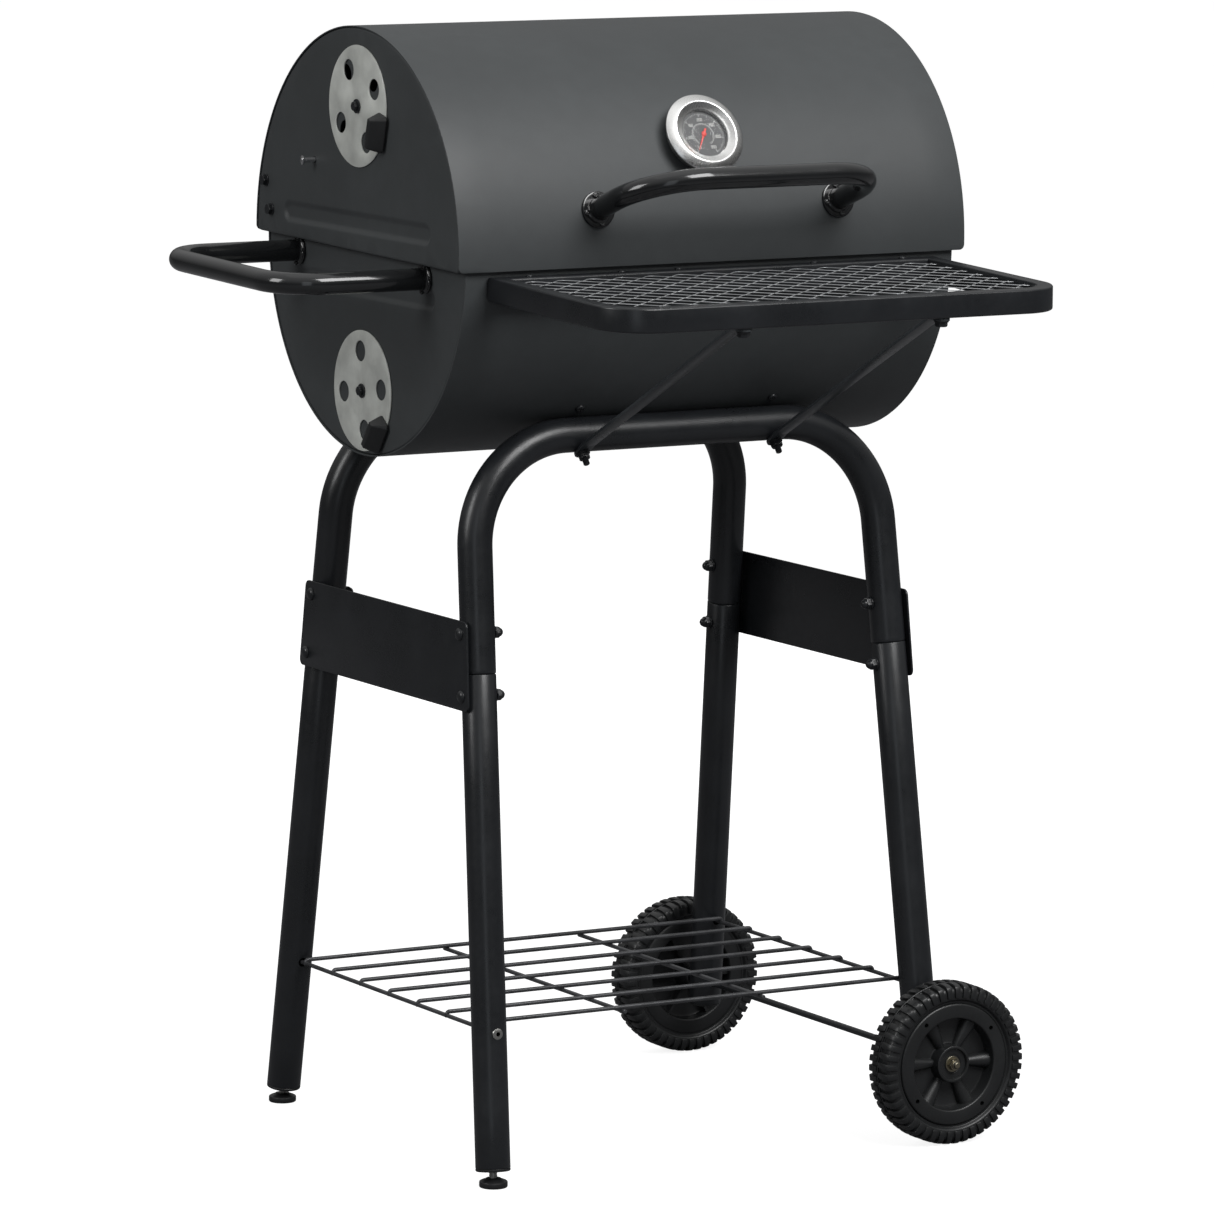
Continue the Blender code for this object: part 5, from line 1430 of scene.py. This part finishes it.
for x in (-76.0, 72.0):
    tube(bm, [(x, -BOTTOM_REACH - 6.0, z + 0.1), (x, BOTTOM_REACH + 6.0, z + 0.1)],
         BOTTOM_WIRE_R, sides=20, ends=0.6)
make("bottom_rack_wires", bm, WIRE, "stand", "bottom_rack", smooth=50.0)

# push-on washers on the end wires, outside the legs
bm = bmesh.new()
for side in (-1, 1):
    for end in (-1, 1):
        y = leg_at(side, end, z).y + end * (TUBE_R + 0.1)
        revolve(bm, [(2.05, 0.0), (5.0, 0.0), (5.2, 0.3), (5.0, 0.7), (3.4, 1.3), (2.05, 1.3)],
                (side * rack_x, y, z), (0, end, 0), 28)
make("bottom_rack_retainers", bm, ZINC, "stand")

# ---------------------------------------------------------------- axle
axle_x = leg_at(1, 1, WHEEL_R).x
wheel_outer_y = WHEEL_Y + WHEEL_W / 2
bm = bmesh.new()
revolve(bm, [(0.0, -wheel_outer_y - 1.9), (2.6, -wheel_outer_y - 1.9),
             (AXLE_R, -wheel_outer_y - 1.3), (AXLE_R, wheel_outer_y + 1.3),
             (2.6, wheel_outer_y + 1.9), (0.0, wheel_outer_y + 1.9)],
        (axle_x, 0, WHEEL_R), (0, 1, 0), 28)
make("axle_rod", bm, BLACK, "stand", "axle")

# ---------------------------------------------------------------- wheels
LUGS = 49
# half of the tyre's section: (radius, distance from the wheel's mid plane)
TYRE = [(58.0, 13.2), (59.6, 13.2), (60.2, 13.7), (60.9, 15.2), (61.6, 16.0), (62.6, 16.4),
        (67.8, 16.4), (70.4, 15.7), (72.0, 14.2), (72.9, 12.0), (73.1, 9.0), (73.1, 1.1),
        (73.5, 0.75), (74.9, 0.6), (75.2, 0.35)]
# stations of a lug over the shoulder: (radius, width) of its top, then of its base
LUG = [(75.7, 1.7, 71.5, 1.7), (75.95, 6.0, 71.5, 6.0), (75.8, 11.0, 71.3, 11.0),
       (75.1, 14.6, 71.0, 13.2), (73.7, 16.8, 69.8, 14.2), (71.2, 17.9, 67.8, 14.8),
       (66.0, 18.0, 65.0, 14.8), (63.0, 17.75, 63.4, 14.8)]
# section of rim band, face ring, dish and boss: (radius, height outwards)
RIM = [(57.7, -13.2), (57.7, 12.6), (57.3, 13.9), (56.5, 14.7), (55.5, 15.0), (45.2, 15.0),
       (44.2, 14.8), (43.6, 14.2), (43.3, 13.2), (42.4, 2.6), (41.6, 1.4), (40.0, 1.0),
       (19.6, 1.0), (18.2, 1.6), (17.6, 3.0), (17.4, 12.6), (17.0, 13.5), (16.1, 14.0),
       (15.0, 13.9), (14.4, 13.2), (14.0, 11.4), (9.4, 11.0), (9.0, 10.6), (3.6, 10.6),
       (3.6, -21.0), (8.2, -21.0), (9.2, -20.2), (12.6, -6.0), (13.6, -2.6), (15.0, -2.0),
       (40.6, -2.0), (42.6, -2.8), (44.0, -13.0), (45.0, -14.0), (56.0, -14.0)]
SPOKE_START, SPOKE_END = 16.6, 43.2        # radii


def spoke(bm, centre, out, across, axis):
    """Tapered half-round spoke and the web behind it."""
    stations, sides = 10, 18
    sections = []
    for i in range(stations + 1):
        share = i / stations
        r = SPOKE_START + (SPOKE_END - SPOKE_START) * share
        half_width, top = 4.3 + 4.2 * share, 6.2 + 3.6 * share
        section = []
        for j in range(sides + 1):
            b = pi * j / sides
            height = 0.2 + (top - 0.2) * sin(b) ** 0.85
            section.append(centre + out * r + across * (half_width * cos(b)) + axis * height)
        sections.append(section)
    loft(bm, sections)
    web = [centre + out * r - across * 1.3 - axis * depth
           for r, depth in ((12.5, 1.8), (43.2, 1.8), (43.4, 10.0), (11.0, 12.0))]
    loft(bm, [web, [p + across * 2.6 for p in web]])


def wheel(tag, end):
    body = f"wheel_{tag}"
    centre, axis = Vector((axle_x, end * WHEEL_Y, WHEEL_R)), Vector((0, end, 0))
    wheel_x, wheel_z = Vector((1, 0, 0)), Vector((0, 0, 1))

    def at(radius, height, a):
        return centre + wheel_x * (radius * cos(a)) + wheel_z * (radius * sin(a)) + axis * height

    bm = bmesh.new()
    revolve(bm, TYRE + [(r, -w) for r, w in reversed(TYRE)], centre, axis, 147)
    make(f"wheel_tyre_{tag}_carcass", bm, PLASTIC, body, f"wheel_tyre_{tag}", smooth=32.0)

    # tread lugs, two staggered rows that wrap over the shoulders
    bm = bmesh.new()
    for row in (-1, 1):
        for k in range(LUGS):
            a = 2 * pi * (k + (0.5 if row < 0 else 0.0)) / LUGS
            sections = []
            for i, (r, w, base_r, base_w) in enumerate(LUG):
                half = 2.85 / WHEEL_R * (0.80 if i == 0 else 1.0)
                middle = a + 0.012 * (w / (WHEEL_W / 2))
                sections.append([at(r, row * w, middle - half), at(r, row * w, middle + half),
                                 at(base_r, row * base_w, middle + half * 1.12),
                                 at(base_r, row * base_w, middle - half * 1.12)])
            loft(bm, sections)
    make(f"wheel_tyre_{tag}_lugs", bm, PLASTIC, body, bevel=0.45, weld=False)

    bm = bmesh.new()
    revolve(bm, RIM, centre, axis, 120)
    rim = make(f"wheel_rim_{tag}_disc", bm, PLASTIC, body, f"wheel_rim_{tag}", smooth=34.0)
    # four small holes in the face ring
    tool = bmesh.new()
    for k in range(4):
        a = radians(38 + 90 * k)
        cylinder(tool, at(50.5, 10.0, a), at(50.5, 20.0, a), 2.1, 20)
    cut(rim, tool)

    bm = bmesh.new()
    for k in range(6):
        a = radians(60 * k - 2)
        spoke(bm, centre, wheel_x * cos(a) + wheel_z * sin(a),
              wheel_x * -sin(a) + wheel_z * cos(a), axis)
    make(f"wheel_rim_{tag}_spokes", bm, PLASTIC, body, smooth=40.0)

    # washer and nut on the axle's end
    bm = bmesh.new()
    revolve(bm, [(3.35, 10.9), (7.2, 10.9), (7.5, 11.2), (7.5, 12.0), (7.2, 12.3), (3.35, 12.3)],
            centre, axis, 40)
    hex_bolt(bm, centre + axis * 12.3, axis, 10.0, 4.6)
    revolve(bm, [(0.0, 16.0), (3.9, 16.0), (3.9, 17.8), (3.3, 18.6), (0.0, 18.6)], centre, axis, 32)
    revolve(bm, [(0.0, 18.0), (2.9, 18.0), (2.9, 20.4), (2.3, 21.0), (0.0, 21.1)], centre, axis, 28)
    make(f"axle_nut_{tag}_set", bm, BRASS, "stand", f"axle_nut_{tag}")


for tag, end in ENDS:
    wheel(tag, end)

# washers between leg and wheel
bm = bmesh.new()
for end in (-1, 1):
    y = leg_at(1, end, WHEEL_R).y + end * (TUBE_R + 0.6)
    revolve(bm, [(3.5, 0.0), (7.0, 0.0), (7.3, 0.3), (7.0, 1.4), (3.5, 1.4)],
            (axle_x, y, WHEEL_R), (0, end, 0), 32)
make("axle_washers", bm, ZINC, "stand")

# ---------------------------------------------------------------- levelling feet
STUD_R, STUD_ROOT_R, STUD_PITCH = 3.9, 3.35, 1.25


def levelling_foot(tag, end):
    """Ribbed plug in the leg, round pad on the floor and threaded stud between them."""
    low = leg_at(-1, end, FOOT_LEG_Z)
    up = (leg_at(-1, end, FOOT_LEG_Z + 30) - low).normalized()
    r = bore_r - 0.5
    bm = bmesh.new()
    revolve(bm, [(4.3, -2.8), (14.9, -2.8), (15.7, -2.4), (16.0, -1.6), (16.0, -0.5),
                 (15.8, -0.25), (r, -0.25), (r, 3.0), (r - 0.5, 3.4), (r - 0.5, 5.0), (r, 5.4),
                 (r, 8.0), (r - 0.5, 8.4), (r - 0.8, 12.0), (4.3, 12.0)], low, up, 56)
    make(f"leg_plug_{tag}_cap", bm, PLASTIC, "stand", f"leg_plug_{tag}")

    pad = leg_at(-1, end, 3.0)
    bm = bmesh.new()
    revolve(bm, [(0.0, 0.6), (9.5, 0.6), (10.0, 0.0), (12.0, 0.0), (12.7, 0.4), (13.0, 1.2),
                 (13.0, 4.6), (12.7, 5.4), (11.8, 6.0), (9.6, 6.9), (7.6, 7.6), (6.6, 8.4),
                 (5.2, 8.6), (4.2, 8.6), (0.0, 8.6)], (pad.x, pad.y, 0.0), (0, 0, 1), 56)
    make(f"foot_{tag}_pad", bm, PLASTIC, f"foot_{tag}", f"foot_{tag}")

    start = leg_at(-1, end, 5.0)
    stud = low + up * 24.0 - start
    length = stud.length
    profile = [(0.0, 0.0), (STUD_R, 0.0)]
    h = 3.0
    while h < length - 1.6:
        profile += [(STUD_R, h), (STUD_ROOT_R, h + 0.35), (STUD_ROOT_R, h + 0.5),
                    (STUD_R, h + 0.85)]
        h += STUD_PITCH
    profile += [(STUD_R, length - 1.0), (3.0, length), (0.0, length)]
    bm = bmesh.new()
    revolve(bm, profile, start, stud, 28)
    make(f"foot_{tag}_stud", bm, ZINC, f"foot_{tag}", smooth=30.0)


for tag, end in ENDS:
    levelling_foot(tag, end)

# ---------------------------------------------------------------- shelf frame
SHELF_X, SHELF_Y = 234.0, -428.0           # half width, front edge
SHELF_BACK_Y = -(BODY_R + 1.2)
SHELF_TOP, SHELF_SLOPE = 816.0, 0.035      # height at the front edge, rise towards the drum
SHELF_H, SHELF_W = 22.0, 15.0              # section of the frame tube
SHELF_CORNER, TUBE_EDGE_R = 46.0, 1.9


def shelf_z(y):
    return SHELF_TOP + SHELF_SLOPE * (y - SHELF_Y)


def shelf_loop(inset):
    """Loop (x, y) of the frame: square at the back, rounded at the two front corners."""
    x, front, back = SHELF_X - inset, SHELF_Y + inset, SHELF_BACK_Y - inset
    r = SHELF_CORNER - inset
    corner_y = front + r
    turns = [(pi / 2) * k / 20 for k in range(21)]
    points = [(-x, back)]
    points += [(-x, back + (corner_y - back) * k / 12) for k in range(1, 12)]
    points += [(-x + r + r * cos(pi + a), corner_y + r * sin(pi + a)) for a in turns]
    points += [(-x + r + 2 * (x - r) * k / 18, front) for k in range(1, 18)]
    points += [(x - r + r * cos(1.5 * pi + a), corner_y + r * sin(1.5 * pi + a)) for a in turns]
    points += [(x, corner_y + (back - corner_y) * k / 12) for k in range(1, 12)]
    points.append((x, back))
    points += [(x - 2 * x * k / 24, back) for k in range(1, 24)]
    return points


# tube section (inset, height) with four rounded edges
r = TUBE_EDGE_R
section = []
for inset, height, start in ((r, -r, 180.0), (SHELF_W - r, -r, 90.0),
                             (SHELF_W - r, -SHELF_H + r, 0.0), (r, -SHELF_H + r, -90.0)):
    for k in range(5):
        a = radians(start - 90.0 * k / 4)
        section.append((inset + r * cos(a), height + r * sin(a)))
bm = bmesh.new()
rows = [[bm.verts.new((x, y, shelf_z(y) + height)) for x, y in shelf_loop(inset)]
        for inset, height in section]
skin(bm, rows + rows[:1])
make("shelf_frame_tube", bm, BLACK, "stand", "shelf_frame", smooth=30.0)

# screw heads on top of the rear rail
bm = bmesh.new()
y = SHELF_BACK_Y - SHELF_W / 2
for x in (-196.0, -101.0, -42.0, 101.0, 196.0):
    pan_screw(bm, (x, y, shelf_z(y) - 0.1), (0, -SHELF_SLOPE, 1), 3.4, 2.2)
make("shelf_rear_screws", bm, BLACK, "stand")

# ---------------------------------------------------------------- shelf's expanded metal
# Zigzag strands bonded to their neighbours, each twisted out of the sheet.
DIAMOND_X, DIAMOND_Y, BOND = 30.5, 26.0, 1.8
STRAND_W, STRAND_T, STRAND_TWIST = 1.10, 0.50, radians(18.0)
MESH_DROP = 3.6                            # below the frame's top
mesh_x = SHELF_X - SHELF_W
mesh_front, mesh_back = SHELF_Y + SHELF_W, SHELF_BACK_Y - SHELF_W
mesh_corner = SHELF_CORNER - SHELF_W


def mesh_half_width(y):
    """Half width of the opening in the frame at y."""
    into_corner = mesh_front + mesh_corner - y
    if into_corner <= 0:
        return mesh_x
    if into_corner >= mesh_corner:
        return mesh_x - mesh_corner
    return mesh_x - mesh_corner + sqrt(mesh_corner ** 2 - into_corner ** 2)


def strand_points(row_y, phase):
    """Zigzag (x, y) along a row, cut to the opening, its ends run into the frame."""
    corners = []
    reach = int(mesh_x / (DIAMOND_X / 2)) + 2
    for k in range(-reach, reach + 1):
        x = k * DIAMOND_X / 2
        y = row_y + phase * (DIAMOND_Y / 4) * (1 if k % 2 == 0 else -1)
        corners += [(x - BOND / 2, y), (x + BOND / 2, y)]
    points = []
    for (xa, ya), (xb, yb) in zip(corners, corners[1:]):
        points += [(xa + (xb - xa) * q / 3, ya + (yb - ya) * q / 3) for q in range(3)]
    points = [(x, min(max(y, mesh_front + 0.2), mesh_back - 0.2)) for x, y in points]
    points = [(x, y) for x, y in points if abs(x) <= mesh_half_width(y) - 0.1]
    if len(points) >= 4:
        for index, side in ((0, -1), (-1, 1)):
            y = points[index][1]
            points[index] = (side * (mesh_half_width(y) + 0.6), y)
    return points


def strand(bm, points):
    sections = []
    for i, (x, y) in enumerate(points):
        a, b = points[max(0, i - 1)], points[min(len(points) - 1, i + 1)]
        along = Vector((b[0] - a[0], b[1] - a[1], SHELF_SLOPE * (b[1] - a[1]))).normalized()
        flat = Vector((0, 0, 1)).cross(along).normalized()
        upright = along.cross(flat).normalized()
        wide = flat * cos(STRAND_TWIST) + upright * sin(STRAND_TWIST)
        thick = upright * cos(STRAND_TWIST) - flat * sin(STRAND_TWIST)
        centre = Vector((x, y, shelf_z(y) - MESH_DROP))
        sections.append([centre + wide * p * (STRAND_W / 2) + thick * q * (STRAND_T / 2)
                         for p, q in ((-1, -1), (1, -1), (1, 1), (-1, 1))])
    loft(bm, sections)


bm = bmesh.new()
row_count = int((mesh_back - mesh_front) / (DIAMOND_Y / 2)) + 1
first_y = (mesh_back + mesh_front) / 2 - (row_count - 1) * DIAMOND_Y / 4
for row in range(row_count):
    points = strand_points(first_y + row * DIAMOND_Y / 2, 1 if row % 2 == 0 else -1)
    if len(points) >= 4:
        strand(bm, points)
# the strands' finish carries a painted highlight, paler than their black coat
make("shelf_mesh_expanded", bm, MESH, "stand", "shelf_mesh", bevel=0.18, segments=1, angle=50.0,
     smooth=40.0, weld=False)

# ---------------------------------------------------------------- shelf braces
BRACE_HALF, BRACE_HALF_T = 7.0, 1.4


def strip_end(tip, neighbour):
    """Stations (point, half width) that round the end of a strip, from the tip inwards."""
    inward = (neighbour - tip).normalized()
    angles = [pi / 2 * (1 - k / 7) for k in range(1, 8)]
    return [(tip + inward * (BRACE_HALF * (1 - sin(a))), BRACE_HALF * cos(a)) for a in angles]


def shelf_brace(tag, side):
    """Flat strip from a saddle bolt up to the underside of the shelf's front rail."""
    across = Vector((1, 0, 0))
    centre, up = saddle(side, -1)
    foot = centre - up * (TUBE_R + GAP + BRACE_HALF_T)
    tangent = across.cross(up)
    top_y = SHELF_Y + SHELF_W / 2 + 3.0
    top = Vector((side * SADDLE_X, top_y, shelf_z(top_y) - SHELF_H - GAP - BRACE_HALF_T))
    forward = Vector((0, -1, -SHELF_SLOPE)).normalized()
    line = rounded([foot - tangent * 9.0, foot + tangent * 12.0, top - forward * 11.0,
                    top + forward * 8.0], [0, 5.0, 5.0, 0], 8)
    stations = strip_end(line[0], line[1]) + [(p, BRACE_HALF) for p in line[1:-1]]
    stations += reversed(strip_end(line[-1], line[-2]))
    sections = []
    for i, (point, half) in enumerate(stations):
        before, after = stations[max(0, i - 1)][0], stations[min(len(stations) - 1, i + 1)][0]
        normal = (after - before).normalized().cross(across).normalized()
        sections.append([point + across * p * half + normal * q * BRACE_HALF_T
                         for p, q in ((-1, -1), (1, -1), (1, 1), (-1, 1))])
    bm = bmesh.new()
    loft(bm, sections)
    # the brace finish is black powder coat painted lighter to stand in for light on its broad face
    make(f"shelf_brace_{tag}_bar", bm, BRACE, "stand", f"shelf_brace_{tag}", bevel=0.35,
         angle=50.0)

    bm = bmesh.new()
    up = Vector((0, -SHELF_SLOPE, 1)).normalized()
    hex_bolt(bm, top - up * 1.5, -up, 10.0, 4.0, washer=6.6, twist=0.4)
    cylinder(bm, top - up * 1.0, top + up * 12.0, 2.9, 20)
    make(f"brace_bolt_{tag}_set", bm, BLACK, "stand", f"brace_bolt_{tag}")


for tag, side in SIDES:
    shelf_brace(tag, side)

# ---------------------------------------------------------------- CAD pieces
# Every CAD node takes the finish of its slot, so pieces not rebuilt here are finished too.
material_of = {slot: material for material, slot in (
    DRUM, BLACK, GLOSS, VENT, STEEL, ZINC, CHROME, PLASTIC, WIRE, DIAL, RED, GLASS, ENAMEL)}
slot_of = {part["node"]: part["material_slot"] for part in frame["record"]["subparts"]}
for name, ob in frame["nodes"].items():
    for slot in ob.material_slots:
        slot.material = material_of[slot_of[name]]

# ---------------------------------------------------------------- floor
FLOOR_HALF = 60.0                          # metres
FLOOR_GLOW = 0.86                          # emission seen by the camera only
low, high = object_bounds()
middle = (Vector(low) + Vector(high)) / 2
floor_mesh = bpy.data.meshes.new("floor")
floor_mesh.from_pydata([(x * FLOOR_HALF, y * FLOOR_HALF, 0)
                        for x, y in ((-1, -1), (1, -1), (1, 1), (-1, 1))], [], [(0, 1, 2, 3)])
floor = bpy.data.objects.new("floor", floor_mesh)
bpy.context.scene.collection.objects.link(floor)
floor_material = bpy.data.materials.new("floor_pale")
floor_material.use_nodes = True
tree = floor_material.node_tree
camera_ray = add_node(tree, "ShaderNodeLightPath", {}).outputs["Is Camera Ray"]
# the camera sees a paler floor than the one that bounces light
floor_color = add_node(tree, "ShaderNodeMix", {
    0: camera_ray, 6: (0.13, 0.13, 0.135), 7: (0.24, 0.24, 0.24)}, data_type="RGBA").outputs[2]
glow = add_node(tree, "ShaderNodeMath", {0: camera_ray, 1: FLOOR_GLOW}, operation="MULTIPLY")
for key, value in {"Roughness": 0.9, "Specular IOR Level": 0.1, "Base Color": floor_color,
                   "Emission Color": (1.0, 1.0, 1.0), "Emission Strength": glow.outputs[0]}.items():
    feed(tree, tree.nodes["Principled BSDF"].inputs[key], value)
floor.data.materials.append(floor_material)

# ---------------------------------------------------------------- world
# White, brighter overhead; the camera sees it evenly lit.
world = bpy.data.worlds.new("studio")
bpy.context.scene.world = world
world.use_nodes = True
tree = world.node_tree
direction = add_node(tree, "ShaderNodeTexCoord", {}).outputs["Generated"]
height = add_node(tree, "ShaderNodeSeparateXYZ", {0: direction}).outputs["Z"]
sky = add_node(tree, "ShaderNodeMapRange", {"From Min": 0.05, "From Max": 0.9, "To Min": 0.07,
                                            "To Max": 0.80, "Value": height}).outputs["Result"]
camera_ray = add_node(tree, "ShaderNodeLightPath", {}).outputs["Is Camera Ray"]
strength = add_node(tree, "ShaderNodeMix", {0: camera_ray, 2: sky, 3: 1.06}, data_type="FLOAT")
background = tree.nodes["Background"]
feed(tree, background.inputs["Strength"], strength.outputs[0])
feed(tree, background.inputs["Color"], (1.0, 1.0, 1.0))

# ---------------------------------------------------------------- lights (metres)
AZIMUTH, ELEVATION, ROLL = radians(-29.782), radians(8.207), radians(0.384)   # of the camera
view_forward = Vector((-sin(AZIMUTH), cos(AZIMUTH), 0))
view_right = Vector((cos(AZIMUTH), sin(AZIMUTH), 0))
light_target = middle + Vector((0, 0, 0.1))


def area_light(name, right, nearer, up, size, power, color=(1, 1, 1)):
    """Rectangle aimed at the grill, placed as the camera sees it; size is (x, y)."""
    light = bpy.data.lights.new(name, "AREA")
    light.shape = "RECTANGLE"
    light.size, light.size_y = size
    light.energy = power
    light.color = color
    ob = bpy.data.objects.new(name, light)
    bpy.context.scene.collection.objects.link(ob)
    ob.location = light_target + view_right * right - view_forward * nearer + Vector((0, 0, up))
    ob.rotation_mode = "QUATERNION"
    ob.rotation_quaternion = (light_target - ob.location).to_track_quat("-Z", "Y")
    return ob


area_light("key", right=2.0, nearer=2.2, up=2.8, size=(2.3, 2.0), power=172.0)
area_light("top", right=0.0, nearer=0.3, up=3.0, size=(2.6, 1.8), power=4.0)
area_light("strip", right=-0.2, nearer=4.0, up=0.4, size=(1.1, 3.0), power=9.0,
           color=(0.88, 0.94, 1.0))
area_light("fill", right=-3.0, nearer=1.6, up=1.6, size=(1.2, 1.6), power=46.0)
rear = area_light("rear", right=0.0, nearer=-3.4, up=0.7, size=(2.4, 1.4), power=55.0)
rear.visible_camera = False
rear.visible_glossy = False

# ---------------------------------------------------------------- camera
CAMERA_TARGET, CAMERA_DISTANCE = Vector((1.3, 0.0, 487.6)), 6740.3
back = Vector((sin(AZIMUTH) * cos(ELEVATION), -cos(AZIMUTH) * cos(ELEVATION), sin(ELEVATION)))
level_up = back.cross(view_right)
camera_right = view_right * cos(ROLL) + level_up * sin(ROLL)
camera_up = level_up * cos(ROLL) - view_right * sin(ROLL)
camera_data = bpy.data.cameras.new("camera")
camera_data.sensor_width = 36.0
camera_data.lens = 213.6454695
camera_data.clip_end = 200.0
camera = bpy.data.objects.new("camera", camera_data)
bpy.context.scene.collection.objects.link(camera)
pose = Matrix((camera_right, camera_up, back)).transposed().to_4x4()
pose.translation = CAMERA_TARGET * MM + OFFSET + back * (CAMERA_DISTANCE * MM)
camera.matrix_world = pose
bpy.context.scene.camera = camera
bpy.context.scene.view_settings.view_transform = "Standard"

bpy.context.view_layer.update()
